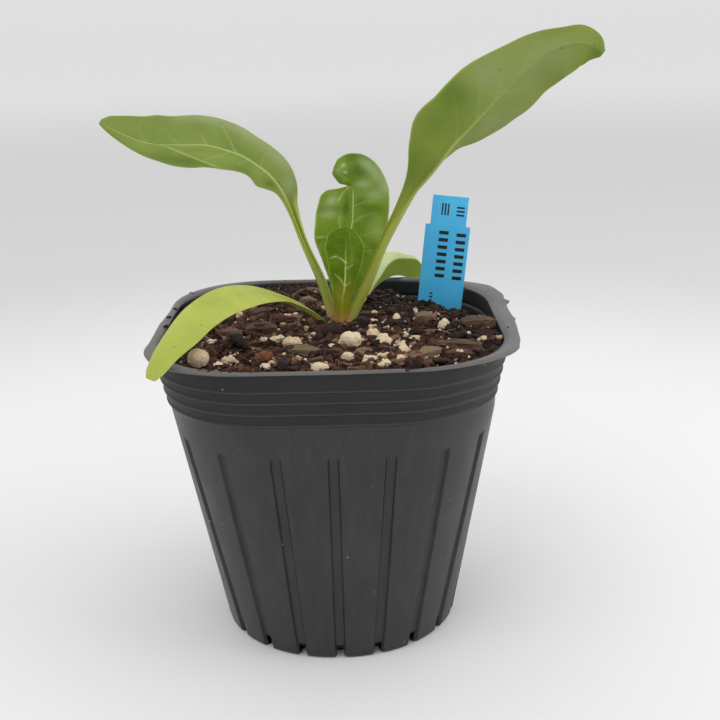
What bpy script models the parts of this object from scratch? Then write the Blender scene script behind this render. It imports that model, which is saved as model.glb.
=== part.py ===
"""A young swiss chard growing in a square nursery pot, with its soil, taproot and plant tag.

Units are metres and +Z is up.  The origin is the centre of the pot's flat underside.
The pot's front faces -Y and its right side faces +X.
"""
import math

import bmesh
import bpy
import numpy as np
from mathutils import Matrix, Vector

MM = 0.001
GAP = 0.3 * MM                    # clearance between touching pieces

# Pot: a tapered square with generous corners, formed from one thin sheet.
POT_HEIGHT = 100.0 * MM
POT_WALL = 0.85 * MM
BASE_HALF = 38.6 * MM             # half the width across the flats at the foot
BASE_CORNER = 37.3 * MM           # corner radius at the foot, almost a full circle
BAND_Z = 82.3 * MM                # where the stepped band under the lip begins
BAND_HALF = 50.6 * MM
BAND_CORNER = 34.0 * MM
BAND_STEPS = 4
BAND_PITCH = 3.55 * MM
BAND_STEP_OUT = 0.4 * MM
NECK_HALF = 53.1 * MM
NECK_CORNER = 33.2 * MM
LIP_HALF = 54.9 * MM
LIP_CORNER = 30.5 * MM
FOOT_ROUND = 1.4 * MM

# Flutes: shallow upright channels pressed into the wall, each with a drain slot at its foot.
FLUTE_COUNT = 20
FLUTE_WIDTH = 3.7 * MM
FLUTE_FLOOR = 0.45                # width of the channel floor over the channel width
FLUTE_DEPTH = 1.0 * MM
FLUTE_TOP = 72.0 * MM
FLUTE_FADE = 1.5 * MM
DRAIN_TOP = 4.5 * MM
DRAIN_INSET = 4.0 * MM

# Soil: fills the pot nearly to the lip and has settled towards the back right corner.
SOIL_TOP = 97.4 * MM
SOIL_DROP = 7.4 * MM
SOIL_DROP_START = 25.0 * MM
SOIL_DROP_RUN = 40.0 * MM
SOIL_ROLL = 0.35 * MM             # height of the soft swells in the surface
SOIL_SWELL = 30.0 * MM            # distance between the swells

# Root crown and taproot, buried upright under the bunch of leaves.
CROWN_AT = (2.5 * MM, 5.0 * MM)
CROWN_TOP = 97.6 * MM
CROWN_RADIUS = 6.2 * MM

# Plant tag: a flat plastic strip with a narrower head and a pointed foot.
TAG_AT = (35.9 * MM, 30.0 * MM, 92.8 * MM)     # where its middle meets the soil
TAG_WIDTH = 15.2 * MM
TAG_HEAD_WIDTH = 12.1 * MM
TAG_HEAD_LENGTH = 10.0 * MM
TAG_ABOVE = 40.8 * MM
TAG_BELOW = 46.0 * MM
TAG_POINT = 22.0 * MM
TAG_THICK = 0.5 * MM
TAG_LEAN = math.radians(6.1)
TAG_TURN = math.radians(-4.0)

# Leaf sheets and stalks.
BLADE_THICK = 0.7 * MM
BLADE_ACROSS = 3                  # strips in each half of a blade
SAMPLES_PER_ROW = 2
STALK_STEP = 2.5 * MM

# Each leaf is a row of stations from the crown to the tip, in millimetres and degrees:
# x, y, z of the midrib, width of the left half, width of the right half, twist.
# "face" points out of the upper side, "fold" lifts both halves at base and tip,
# "droop" bends the left half down towards its margin, "blade" is the first station with blade,
# "stalk" is the stalk radius at the crown, at the blade's start and at the tip.
LEAVES = {
    "right_leaf": {
        "face": (-0.69, 0.12, 0.70), "fold": (25, 20), "droop": (0, 0), "blade": 3,
        "stalk": (1.3, 1.0, 0.35), "rows": (
            (4.0, 3.0, 98.0, 1.9, 1.9, -10), (10.5, 2.0, 110.0, 1.6, 1.7, -20),
            (17.0, 1.0, 125.0, 1.5, 1.8, -25), (25.5, -0.5, 139.0, 1.3, 4.2, -30),
            (31.0, -1.5, 145.5, 1.6, 9.1, -35), (34.5, -2.5, 150.0, 2.6, 12.6, -42),
            (38.0, -3.0, 154.5, 5.6, 15.0, -48), (42.5, -3.5, 159.0, 9.9, 14.4, -55),
            (51.5, -5.5, 168.5, 12.2, 13.1, -68), (60.0, -7.0, 177.0, 11.6, 8.9, -80),
            (65.5, -8.0, 180.8, 10.5, 6.9, -88), (70.5, -8.5, 182.6, 9.5, 5.5, -92),
            (74.5, -9.3, 182.9, 9.1, 5.4, -95), (78.0, -10.0, 181.8, 8.0, 3.9, -97),
            (80.3, -10.4, 180.0, 2.4, 1.2, -98))},
    "left_leaf": {
        "face": (0.66, -0.24, 0.70), "fold": (18, 12), "droop": (-8, -50), "blade": 3,
        "stalk": (1.5, 1.1, 0.35), "rows": (
            (0.5, 6.0, 98.0, 1.9, 1.9, -20), (-3.5, 7.5, 110.5, 1.5, 1.5, -30),
            (-9.0, 9.0, 123.5, 1.2, 1.3, -40), (-13.0, 10.5, 134.0, 1.4, 2.8, -45),
            (-15.5, 11.5, 139.5, 2.3, 5.6, -45), (-19.0, 13.0, 144.0, 5.8, 7.3, -45),
            (-23.0, 14.5, 147.0, 4.9, 7.8, -45), (-27.0, 16.0, 149.5, 6.0, 7.9, -45),
            (-31.0, 17.5, 151.0, 7.2, 9.0, -45), (-39.5, 20.5, 153.0, 8.6, 9.9, -45),
            (-48.5, 23.5, 153.0, 8.1, 10.6, -45), (-57.5, 27.0, 153.0, 5.3, 10.3, -45),
            (-62.5, 28.5, 154.0, 4.0, 9.4, -45), (-68.0, 30.5, 156.0, 2.9, 7.3, -45),
            (-72.0, 32.0, 157.8, 2.0, 5.3, -45), (-74.8, 33.2, 159.3, 1.3, 3.4, -45),
            (-76.2, 33.8, 160.1, 0.8, 1.2, -45))},
    "centre_leaf": {
        "face": (0.0, -1.0, 0.2), "fold": (20, 20), "droop": (0, 0), "blade": 0,
        "stalk": (1.1, 1.0, 0.35), "rows": (
            (3.0, 8.5, 99.6, 2.5, 2.8, 0), (4.0, 10.0, 108.5, 5.2, 6.0, 0),
            (5.0, 11.0, 116.0, 8.6, 9.0, 0), (6.0, 12.0, 123.5, 11.7, 11.5, 0),
            (7.0, 12.5, 130.0, 12.3, 11.8, 0), (7.3, 12.2, 136.5, 11.2, 12.1, 0),
            (7.3, 12.1, 137.6, 10.9, 12.0, 0), (7.3, 12.0, 138.7, 9.8, 12.0, 0),
            (7.3, 11.9, 139.6, 7.7, 12.0, 0), (7.3, 11.6, 140.3, 2.2, 11.5, 0),
            (7.1, 11.2, 141.3, 2.2, 10.6, 0), (6.4, 10.6, 142.4, 2.4, 9.9, 0),
            (5.3, 10.0, 143.4, 2.8, 9.0, 0), (4.2, 9.4, 144.1, 2.9, 7.8, 0),
            (3.0, 8.9, 144.6, 2.4, 6.4, 0), (2.2, 8.5, 144.9, 1.7, 5.1, 0),
            (1.6, 8.2, 145.1, 0.7, 1.2, 0))},
    "front_leaf": {
        "face": (0.0, 1.0, 0.2), "fold": (20, 10), "droop": (0, 0), "blade": 0,
        "stalk": (1.0, 0.9, 0.3), "rows": (
            (2.5, 1.0, 99.6, 2.4, 2.4, 0), (3.0, 0.0, 105.0, 2.9, 2.9, 0),
            (4.0, -0.5, 111.0, 3.4, 3.9, 0), (4.5, -1.0, 118.0, 5.2, 5.8, 0),
            (4.6, -1.0, 122.5, 5.9, 6.5, 0), (4.6, -0.7, 125.5, 4.9, 6.0, 0),
            (4.6, -0.3, 127.6, 3.4, 5.0, 0), (4.6, 0.0, 129.0, 1.6, 2.2, 0))},
    "front_cotyledon": {
        "face": (0.0, 0.0, 1.0), "fold": (5, 5), "droop": (0, 0), "blade": 3,
        "stalk": (0.9, 0.8, 0.3), "rows": (
            (-2.0, 3.0, 99.8, 1.2, 1.2, -20), (-5.0, 0.0, 101.8, 1.1, 1.1, -22),
            (-8.5, -4.5, 105.0, 1.2, 1.3, -24), (-13.0, -9.0, 108.5, 1.3, 1.7, -28),
            (-17.0, -14.0, 111.0, 2.7, 2.8, -28), (-22.5, -19.5, 113.3, 5.0, 4.0, -28),
            (-28.0, -25.5, 114.3, 6.5, 4.6, -28), (-33.0, -31.0, 114.0, 7.0, 4.3, -28),
            (-38.5, -37.0, 111.8, 7.0, 3.7, -28), (-42.5, -42.0, 108.0, 6.2, 3.4, -28),
            (-46.5, -46.5, 103.8, 4.7, 2.6, -28), (-49.2, -49.6, 99.7, 3.3, 1.8, -28),
            (-50.2, -50.7, 97.9, 2.0, 0.9, -28))},
    "back_cotyledon": {
        "face": (0.0, 0.0, 1.0), "fold": (10, 10), "droop": (0, 0), "blade": 1,
        "stalk": (0.8, 0.7, 0.3), "rows": (
            (5.5, 8.5, 100.2, 1.1, 1.1, 20), (9.5, 21.0, 100.4, 2.2, 1.1, 35),
            (13.0, 33.0, 101.6, 4.2, 0.9, 45), (16.5, 44.0, 103.2, 6.0, 2.2, 48),
            (19.0, 52.0, 105.0, 5.2, 4.8, 54), (22.2, 59.2, 105.6, 2.8, 8.0, 60),
            (26.5, 64.0, 104.8, 1.6, 9.8, 60), (30.5, 69.2, 103.0, 1.2, 8.8, 55),
            (33.0, 73.4, 99.0, 1.2, 5.4, 50), (34.4, 75.6, 94.8, 0.4, 0.4, 45))},
}

# Loose pieces on the soil, in millimetres and degrees: x, y, length, width, height, turn.
PUMICE = (
    (5.6, -25.0, 6.6, 5.6, 4.6, 10), (12.6, -16.5, 4.2, 3.8, 3.2, 40), (15.8, -24.5, 4.8, 4.0, 3.2, 0),
    (20.7, -33.5, 7.2, 3.6, 3.0, 100), (19.8, -42.4, 4.2, 2.8, 2.4, 60), (15.4, -38.6, 4.4, 3.0, 2.4, 15),
    (4.6, -38.0, 4.2, 3.2, 2.4, -20), (10.6, -43.0, 3.8, 2.4, 2.0, -30), (34.6, -8.0, 4.2, 3.8, 2.8, 30),
    (48.6, 15.0, 3.0, 2.6, 2.0, 0), (16.6, -2.5, 2.8, 2.6, 2.2, 0), (20.6, 2.6, 3.2, 2.8, 2.4, 70),
    (-37.6, -41.2, 6.4, 5.0, 4.6, 30), (-31.8, -43.4, 3.4, 3.0, 2.6, 0), (-16.8, -19.6, 5.8, 2.6, 2.4, 25),
    (-12.0, -23.2, 5.8, 4.0, 3.0, 10), (-2.8, -48.0, 5.4, 3.0, 2.4, 5),
)
BARK = (
    (45.5, -7.5, 10.5, 6.4, 3.4, 12), (27.2, -37.8, 11.0, 4.8, 2.6, 38), (38.0, -29.5, 12.4, 4.6, 2.2, -12),
    (37.0, -37.8, 7.4, 4.4, 2.2, -8), (-32.0, -10.5, 8.2, 4.4, 2.2, -14), (-22.5, -8.5, 9.6, 6.6, 2.8, 8),
    (-8.8, -31.6, 10.4, 5.4, 2.6, -8), (-23.5, 14.0, 8.0, 5.0, 2.2, 30), (-8.6, 27.0, 6.4, 4.4, 2.4, -20),
    (29.6, 1.2, 6.4, 4.6, 2.4, 0), (1.4, -33.6, 5.0, 3.4, 2.0, -30), (-8.0, 40.0, 9.6, 2.6, 1.8, -6),
)

parts = bpy.data.collections.new("potted_swiss_chard")
cutters = bpy.data.collections.new("cutters")


# ---------------------------------------------------------------- scene and materials

def clear_scene():
    """Remove everything that the file opened with and link the two collections."""
    for obj in list(bpy.data.objects):
        bpy.data.objects.remove(obj, do_unlink=True)
    bpy.context.scene.collection.children.link(parts)
    bpy.context.scene.collection.children.link(cutters)


def material(name, colour, roughness):
    """A plain non-metallic Principled material."""
    mat = bpy.data.materials.new(name)
    mat.use_nodes = True
    shader = mat.node_tree.nodes["Principled BSDF"]
    shader.inputs["Base Color"].default_value = (*colour, 1.0)
    shader.inputs["Roughness"].default_value = roughness
    shader.inputs["Metallic"].default_value = 0.0
    return mat


def add_object(name, data, mat=None, collection=parts):
    obj = bpy.data.objects.new(name, data)
    collection.objects.link(obj)
    if mat is not None:
        obj.data.materials.append(mat)
    return obj


def mesh_from(name, points, faces):
    mesh = bpy.data.meshes.new(name)
    mesh.from_pydata([tuple(p) for p in points], [], faces)
    mesh.validate()
    return mesh


def as_cutter(obj):
    obj.hide_render = True
    obj.display_type = "WIRE"


def subtract(obj, cutter):
    """Cut one object out of another with an exact Boolean."""
    cut = obj.modifiers.new("cut " + cutter.name, "BOOLEAN")
    cut.operation = "DIFFERENCE"
    cut.solver = "EXACT"
    cut.object = cutter


# ---------------------------------------------------------------- pot outline

def pot_profile():
    """Outside of the pot from foot to lip: height, half width and corner radius."""
    rows = [(0.0, BASE_HALF - FOOT_ROUND, BASE_CORNER - FOOT_ROUND),
            (0.3 * FOOT_ROUND, BASE_HALF - 0.3 * FOOT_ROUND, BASE_CORNER - 0.3 * FOOT_ROUND),
            (FOOT_ROUND, BASE_HALF + 0.1 * FOOT_ROUND, BASE_CORNER)]
    for z in (DRAIN_TOP, FLUTE_TOP - FLUTE_FADE, FLUTE_TOP + FLUTE_FADE, BAND_Z):
        t = z / BAND_Z
        rows.append((z, BASE_HALF + t * (BAND_HALF - BASE_HALF),
                     BASE_CORNER + t * (BAND_CORNER - BASE_CORNER)))
    half = BAND_HALF
    rise = (NECK_HALF - BAND_HALF - BAND_STEPS * BAND_STEP_OUT) / BAND_STEPS
    for step in range(BAND_STEPS):
        z = BAND_Z + step * BAND_PITCH
        corner = BAND_CORNER + (step + 1) / BAND_STEPS * (NECK_CORNER - BAND_CORNER)
        half += BAND_STEP_OUT
        rows.append((z + BAND_STEP_OUT, half, corner))
        half += rise
        top = POT_HEIGHT - POT_WALL if step == BAND_STEPS - 1 else z + BAND_PITCH
        rows.append((top, half, corner))
    return rows


PROFILE = pot_profile()


def outline_point(fraction, half, corner):
    """Point and outward direction at a fraction of the way round a rounded square."""
    flat = half - corner
    side = 2 * flat + 0.5 * math.pi * corner
    quarter, along = divmod((fraction % 1.0) * 4 * side + flat + 0.25 * math.pi * corner, side)
    along -= 0.25 * math.pi * corner
    if along < 0:
        turn = along / corner
        point = Vector((half - corner + corner * math.cos(turn), -flat + corner * math.sin(turn)))
    elif along <= 2 * flat:
        turn = 0.0
        point = Vector((half, along - flat))
    else:
        turn = (along - 2 * flat) / corner
        point = Vector((half - corner + corner * math.cos(turn), flat + corner * math.sin(turn)))
    spin = Matrix.Rotation(quarter * 0.5 * math.pi, 2)
    return spin @ point, spin @ Vector((math.cos(turn), math.sin(turn)))


def pot_ring(z, half, corner, inset=0.0, widen=0.0):
    """One ring of the pot wall at a height, drawn inwards by inset, with its flute channels."""
    length = 8 * (half - corner) + 2 * math.pi * corner
    edge = (0.5 * FLUTE_WIDTH + widen) / length
    floor = (0.5 * FLUTE_WIDTH * FLUTE_FLOOR + widen) / length
    depth = FLUTE_DEPTH * min(1.0, max(0.0, (FLUTE_TOP + FLUTE_FADE - z) / (2 * FLUTE_FADE)))
    ring = []
    for flute in range(FLUTE_COUNT):
        centre = flute / FLUTE_COUNT
        rib = (1.0 / FLUTE_COUNT - 2 * edge) / 3
        for offset, sunk in ((-edge, 0), (-floor, 1), (floor, 1), (edge, 0),
                             (edge + rib, 0), (edge + 2 * rib, 0)):
            point, out = outline_point(centre + offset, half, corner)
            point = point - out * (inset + depth * sunk)
            ring.append((point.x, point.y, z))
    return ring


def pot_size(z):
    """Half width and corner radius of the pot's outside at a height."""
    heights = [row[0] for row in PROFILE]
    half = np.interp(z, heights, [row[1] for row in PROFILE])
    corner = np.interp(z, heights, [row[2] for row in PROFILE])
    return float(half), float(corner)


def bridge(faces, lower, upper, count, skip=None):
    """Quads between two rings of equal length, given the index of each ring's first point."""
    for i in range(count):
        j = (i + 1) % count
        if skip is None or not skip(i):
            faces.append((lower + i, lower + j, upper + j, upper + i))


# ---------------------------------------------------------------- pot

def make_pot(mat):
    """The pot wall, floor and lip as one open sheet, thickened inwards."""
    rings = [pot_ring(0.0, *PROFILE[0][1:], inset=DRAIN_INSET)]
    rings += [pot_ring(*row) for row in PROFILE]
    rings.append(pot_ring(POT_HEIGHT - POT_WALL, LIP_HALF, LIP_CORNER))
    count = len(rings[0])
    points = [p for ring in rings for p in ring]
    faces = [tuple(reversed(range(count)))]
    slot_rings = sum(1 for row in PROFILE if row[0] < DRAIN_TOP) + 1
    for level in range(len(rings) - 1):
        is_slot = (lambda i: i % 6 == 1) if level < slot_rings else None
        bridge(faces, level * count, (level + 1) * count, count, is_slot)
    pot = add_object("nursery_pot", mesh_from("nursery_pot", points, faces), mat)
    wall = pot.modifiers.new("wall", "SOLIDIFY")
    wall.thickness = POT_WALL
    wall.offset = -1.0
    wall.use_even_offset = True
    return pot


# ---------------------------------------------------------------- soil

def soil_height(x, y):
    """Height of the soil surface, sloping down towards the back right corner."""
    t = (0.8 * x + 0.6 * y - SOIL_DROP_START) / SOIL_DROP_RUN
    t = min(1.0, max(0.0, t))
    swell = math.sin(2 * math.pi * x / SOIL_SWELL + 1.0) * math.cos(2 * math.pi * y / SOIL_SWELL)
    return SOIL_TOP - SOIL_DROP * t * t * (3 - 2 * t) + SOIL_ROLL * swell


def make_soil(mat):
    """The root ball of potting soil, following the inside of the pot."""
    inset = POT_WALL + GAP + 0.1 * MM
    widen = 0.9 * MM
    rings = []
    for z in (POT_WALL + GAP, FOOT_ROUND + 2 * POT_WALL, FLUTE_TOP - FLUTE_FADE,
              FLUTE_TOP + FLUTE_FADE, BAND_Z):
        deeper = 2.0 * MM if z < FOOT_ROUND else 0.0
        rings.append(pot_ring(z, *pot_size(z), inset=inset + deeper, widen=widen))
    rim = pot_ring(BAND_Z, *pot_size(BAND_Z), inset=inset + BAND_STEP_OUT)
    rings.append([(x, y, soil_height(x, y)) for x, y, z in rim])
    for scale in (0.88, 0.74, 0.60, 0.46, 0.32, 0.18):
        rings.append([(x * scale, y * scale, soil_height(x * scale, y * scale)) for x, y, z in rim])
    count = len(rings[0])
    points = [p for ring in rings for p in ring]
    faces = [tuple(reversed(range(count)))]
    for level in range(len(rings) - 1):
        bridge(faces, level * count, (level + 1) * count, count)
    last = (len(rings) - 1) * count
    points.append((0.0, 0.0, soil_height(0.0, 0.0)))
    for i in range(count):
        faces.append((last + i, last + (i + 1) % count, len(points) - 1))
    return add_object("potting_soil", mesh_from("potting_soil", points, faces), mat)


# ---------------------------------------------------------------- crown and taproot

def crown_profile(grow=0.0):
    """Radius and height from the crown's middle, over its shoulder, down to the root tip."""
    return [(0.0, CROWN_TOP + 20 * grow),
            (CROWN_RADIUS - 0.6 * MM + grow, CROWN_TOP + 20 * grow),
            (CROWN_RADIUS + grow, CROWN_TOP - 0.6 * MM),
            (4.6 * MM + grow, CROWN_TOP - 4.0 * MM), (3.0 * MM + grow, CROWN_TOP - 9.0 * MM),
            (2.0 * MM + grow, CROWN_TOP - 20.0 * MM), (1.2 * MM + grow, CROWN_TOP - 40.0 * MM),
            (0.6 * MM + grow, CROWN_TOP - 60.0 * MM), (0.0, CROWN_TOP - 62.0 * MM - 2 * grow)]


def turned(name, profile, mat, collection):
    """A closed solid of revolution about its own Z axis."""
    edges = [(i, i + 1) for i in range(len(profile) - 1)]
    mesh = bpy.data.meshes.new(name)
    mesh.from_pydata([(r, 0.0, z) for r, z in profile], edges, [])
    obj = add_object(name, mesh, mat, collection)
    screw = obj.modifiers.new("turn", "SCREW")
    screw.axis = "Z"
    screw.steps = 20
    screw.render_steps = 20
    screw.use_merge_vertices = True
    screw.merge_threshold = 0.00001
    obj.location = (*CROWN_AT, 0.0)
    return obj


# ---------------------------------------------------------------- plant tag

def tag_outline(grow=0.0):
    """Half of it drawn down the right side, then mirrored: head, shoulders, strip, point."""
    right = [(0.5 * TAG_HEAD_WIDTH + grow, TAG_ABOVE + grow),
             (0.5 * TAG_HEAD_WIDTH + grow, TAG_ABOVE - TAG_HEAD_LENGTH + grow),
             (0.5 * TAG_WIDTH + grow, TAG_ABOVE - TAG_HEAD_LENGTH + grow),
             (0.5 * TAG_WIDTH + grow, TAG_POINT - TAG_BELOW)]
    return right + [(0.0, -TAG_BELOW - 3 * grow)] + [(-x, y) for x, y in reversed(right)]


def make_tag(name, grow, mat, collection):
    """A flat strip standing in the soil; grow makes the wider twin that cuts its slot."""
    curve = bpy.data.curves.new(name, "CURVE")
    curve.dimensions = "2D"
    curve.fill_mode = "BOTH"
    curve.extrude = 0.5 * TAG_THICK + grow
    corners = tag_outline(grow)
    spline = curve.splines.new("POLY")
    spline.points.add(len(corners) - 1)
    for point, (x, y) in zip(spline.points, corners):
        point.co = (x, y, 0.0, 1.0)
    spline.use_cyclic_u = True
    obj = add_object(name, curve, mat, collection)
    stand = Matrix.Rotation(math.radians(90), 4, "X")
    lean = Matrix.Rotation(TAG_LEAN, 4, "Y")
    turn = Matrix.Rotation(TAG_TURN, 4, "Z")
    obj.matrix_world = Matrix.Translation(TAG_AT) @ turn @ lean @ stand
    return obj


def curve_to_mesh(obj):
    """Swap a curve object for a welded mesh object of the same name and place."""
    bpy.context.view_layer.update()
    graph = bpy.context.evaluated_depsgraph_get()
    mesh = bpy.data.meshes.new_from_object(obj.evaluated_get(graph))
    build = bmesh.new()
    build.from_mesh(mesh)
    bmesh.ops.remove_doubles(build, verts=build.verts, dist=0.00001)
    bmesh.ops.recalc_face_normals(build, faces=build.faces)
    build.to_mesh(mesh)
    build.free()
    name, place, home = obj.name, obj.matrix_world.copy(), obj.users_collection[0]
    bpy.data.objects.remove(obj, do_unlink=True)
    solid = bpy.data.objects.new(name, mesh)
    home.objects.link(solid)
    solid.matrix_world = place
    return solid


# ---------------------------------------------------------------- leaves

def smooth_rows(rows, samples):
    """A smooth curve through every station, with a fixed number of samples between them."""
    rows = np.array(rows, float)
    reach = np.concatenate(([0.0], np.cumsum(np.linalg.norm(np.diff(rows[:, :3], axis=0), axis=1))))
    slope = np.zeros_like(rows)
    for i in range(len(rows)):
        a, b = max(i - 1, 0), min(i + 1, len(rows) - 1)
        slope[i] = (rows[b] - rows[a]) / (reach[b] - reach[a])
    curve = []
    for i in range(len(rows) - 1):
        span = reach[i + 1] - reach[i]
        for k in range(samples):
            t = k / samples
            curve.append((2 * t**3 - 3 * t**2 + 1) * rows[i] + (t**3 - 2 * t**2 + t) * span * slope[i]
                         + (3 * t**2 - 2 * t**3) * rows[i + 1] + (t**3 - t**2) * span * slope[i + 1])
    curve.append(rows[-1])
    return np.array(curve)


def leaf_frame(curve, face):
    """Direction along the midrib, towards the left margin, and out of the upper side."""
    along = np.gradient(curve[:, :3], axis=0)
    along /= np.linalg.norm(along, axis=1)[:, None]
    up = np.array(face) - along * (along @ np.array(face))[:, None]
    up /= np.linalg.norm(up, axis=1)[:, None]
    left = np.cross(up, along)
    twist = np.radians(curve[:, 5])[:, None]
    return along, left * np.cos(twist) + up * np.sin(twist), up * np.cos(twist) - left * np.sin(twist)


def half_section(start, width, side, left, up, fold, droop):
    """Points from the midrib to one margin, rising by the fold and bending by the droop."""
    point = start.copy()
    points = []
    for k in range(BLADE_ACROSS):
        angle = fold + droop * (k + 0.5) / BLADE_ACROSS
        point = point + width / BLADE_ACROSS * (side * math.cos(angle) * left + math.sin(angle) * up)
        points.append(point)
    return points


def make_blade(name, leaf, mat):
    """The leaf blade: a sheet across the midrib, thickened to both sides."""
    rows = np.array(leaf["rows"][leaf["blade"]:], float)
    curve = smooth_rows(rows, SAMPLES_PER_ROW)
    _, left, up = leaf_frame(curve, leaf["face"])
    points = []
    for i, row in enumerate(curve):
        t = i / (len(curve) - 1)
        fold = math.radians((1 - t) * leaf["fold"][0] + t * leaf["fold"][1])
        droop = math.radians((1 - t) * leaf["droop"][0] + t * leaf["droop"][1])
        middle = row[:3]
        one = half_section(middle, row[3], 1.0, left[i], up[i], fold, droop)
        other = half_section(middle, row[4], -1.0, left[i], up[i], fold, 0.0)
        points += [p * MM for p in one[::-1] + [middle] + other]
    count = 2 * BLADE_ACROSS + 1
    faces = [(i * count + j, i * count + j + 1, (i + 1) * count + j + 1, (i + 1) * count + j)
             for i in range(len(curve) - 1) for j in range(count - 1)]
    blade = add_object(name, mesh_from(name, points, faces), mat)
    sheet = blade.modifiers.new("sheet", "SOLIDIFY")
    sheet.thickness = BLADE_THICK
    sheet.offset = 0.0
    blade.data.shade_smooth()
    return blade


def make_stalk(name, leaf, mat):
    """The leaf stalk, running on under the blade as its midrib, as a tapered round tube."""
    rows = np.array(leaf["rows"], float)
    curve = smooth_rows(rows, 6)
    along, _, up = leaf_frame(curve, leaf["face"])
    reach = np.concatenate(([0.0], np.cumsum(np.linalg.norm(np.diff(curve[:, :3], axis=0), axis=1))))
    neck = reach[6 * leaf["blade"]] if leaf["blade"] else 0.15 * reach[-1]
    radius = np.interp(reach, [0.0, neck, reach[-1]], leaf["stalk"]) * MM
    below = (radius + 0.5 * BLADE_THICK + GAP)[:, None]
    path = curve[:, :3] * MM - up * below
    lowest = path[:, 2] - radius * np.sqrt(np.clip(1 - along[:, 2]**2, 0.0, 1.0))
    first = int(np.argmax(lowest > CROWN_TOP + GAP))
    stops = np.arange(reach[first], 0.93 * reach[-1], STALK_STEP / MM)
    tube = bpy.data.curves.new(name, "CURVE")
    tube.dimensions = "3D"
    tube.bevel_depth = 1.0
    tube.bevel_resolution = 2
    tube.use_fill_caps = True
    spline = tube.splines.new("POLY")
    spline.points.add(len(stops) - 1)
    for point, stop in zip(spline.points, stops):
        place = [float(np.interp(stop, reach, path[:, k])) for k in range(3)]
        point.co = (*place, 1.0)
        point.radius = float(np.interp(stop, reach, radius))
    return add_object(name, tube, mat)


# ---------------------------------------------------------------- loose pieces on the soil

def seat_on_soil(points, clearance=1.5 * GAP):
    """Height that a set of points is lifted by so that it just clears the soil."""
    return max(soil_height(p.x, p.y) - p.z for p in points) + clearance


def loose_piece(name, row, mat, rough, seed, square):
    """A small lump or chip: a ball or a block, roughened, sized, turned and laid on the soil."""
    x, y, length, width, height, turn = row
    random = np.random.default_rng(seed)
    build = bmesh.new()
    if square:
        bmesh.ops.create_cube(build, size=1.0)
        bmesh.ops.subdivide_edges(build, edges=build.edges[:], cuts=2, use_grid_fill=True)
    else:
        bmesh.ops.create_icosphere(build, subdivisions=1, radius=0.5)
    for vert in build.verts:
        vert.co *= 1.0 + rough * random.uniform(-1.0, 1.0)
        if square:
            vert.co.z *= 1.0 - 0.5 * abs(2 * vert.co.x)**3
            vert.co.y *= 1.0 - 0.45 * abs(2 * vert.co.x)**3
    place = Matrix.Rotation(math.radians(turn), 4, "Z") @ Matrix.Diagonal(
        (length * MM, width * MM, height * MM, 1.0))
    bmesh.ops.transform(build, matrix=Matrix.Translation((x * MM, y * MM, 0.0)) @ place,
                        verts=build.verts)
    rise = seat_on_soil([vert.co for vert in build.verts])
    centre = Vector((x * MM, y * MM, rise))
    bmesh.ops.translate(build, vec=(-centre.x, -centre.y, 0.0), verts=build.verts)
    mesh = bpy.data.meshes.new(name)
    build.to_mesh(mesh)
    build.free()
    piece = add_object(name, mesh, mat)
    piece.location = centre
    return piece


# ---------------------------------------------------------------- assembly

def make_leaves():
    for name, leaf in LEAVES.items():
        young = "cotyledon" in name
        green = (0.33, 0.42, 0.09) if young else (0.13, 0.24, 0.03)
        pale = (0.45, 0.50, 0.18)
        make_blade(name + "_blade", leaf, material(name + " blade", green, 0.45))
        make_stalk(name + "_stalk", leaf, material(name + " stalk", pale, 0.4))


def make_loose_pieces():
    for i, row in enumerate(PUMICE, start=1):
        name = f"pumice_{i:02d}"
        loose_piece(name, row, material(name, (0.62, 0.50, 0.33), 0.9), 0.08, i, False)
    for i, row in enumerate(BARK, start=1):
        name = f"bark_chip_{i:02d}"
        loose_piece(name, row, material(name, (0.13, 0.08, 0.05), 0.85), 0.06, 100 + i, True)


clear_scene()
make_pot(material("pot plastic", (0.045, 0.045, 0.05), 0.5))
soil = make_soil(material("potting soil", (0.03, 0.018, 0.012), 0.95))
turned("crown_and_taproot", crown_profile(), material("root", (0.42, 0.22, 0.10), 0.6), parts)
root_hole = turned("root_hole", crown_profile(GAP), None, cutters)
make_tag("plant_tag", 0.0, material("tag plastic", (0.03, 0.42, 0.83), 0.4), parts)
tag_slot = curve_to_mesh(make_tag("tag_slot", GAP, None, cutters))
for hole in (root_hole, tag_slot):
    as_cutter(hole)
    subtract(soil, hole)
make_leaves()
make_loose_pieces()
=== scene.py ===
import math

import bmesh
import bpy
import numpy as np
from mathutils import Matrix, Vector


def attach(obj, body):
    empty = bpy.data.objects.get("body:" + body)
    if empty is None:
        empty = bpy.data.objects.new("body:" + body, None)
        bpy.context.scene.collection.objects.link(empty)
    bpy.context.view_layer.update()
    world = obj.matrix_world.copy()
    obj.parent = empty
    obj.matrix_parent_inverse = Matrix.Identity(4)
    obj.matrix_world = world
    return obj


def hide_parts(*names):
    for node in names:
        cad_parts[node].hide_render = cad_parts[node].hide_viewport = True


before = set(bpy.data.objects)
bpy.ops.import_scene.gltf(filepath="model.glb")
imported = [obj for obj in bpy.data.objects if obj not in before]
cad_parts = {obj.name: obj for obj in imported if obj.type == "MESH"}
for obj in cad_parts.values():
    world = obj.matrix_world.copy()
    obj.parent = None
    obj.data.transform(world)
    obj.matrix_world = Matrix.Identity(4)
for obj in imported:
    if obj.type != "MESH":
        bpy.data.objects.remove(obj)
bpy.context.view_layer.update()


# ------------------------------------------------------------------ nursery pot
# A tapered square pot with round corners, formed from one thin charcoal plastic sheet.
# Upright channels are pressed into its wall, each ends in a drain slot at the foot, and
# a stepped band stiffens it under the flat lip.

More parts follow.
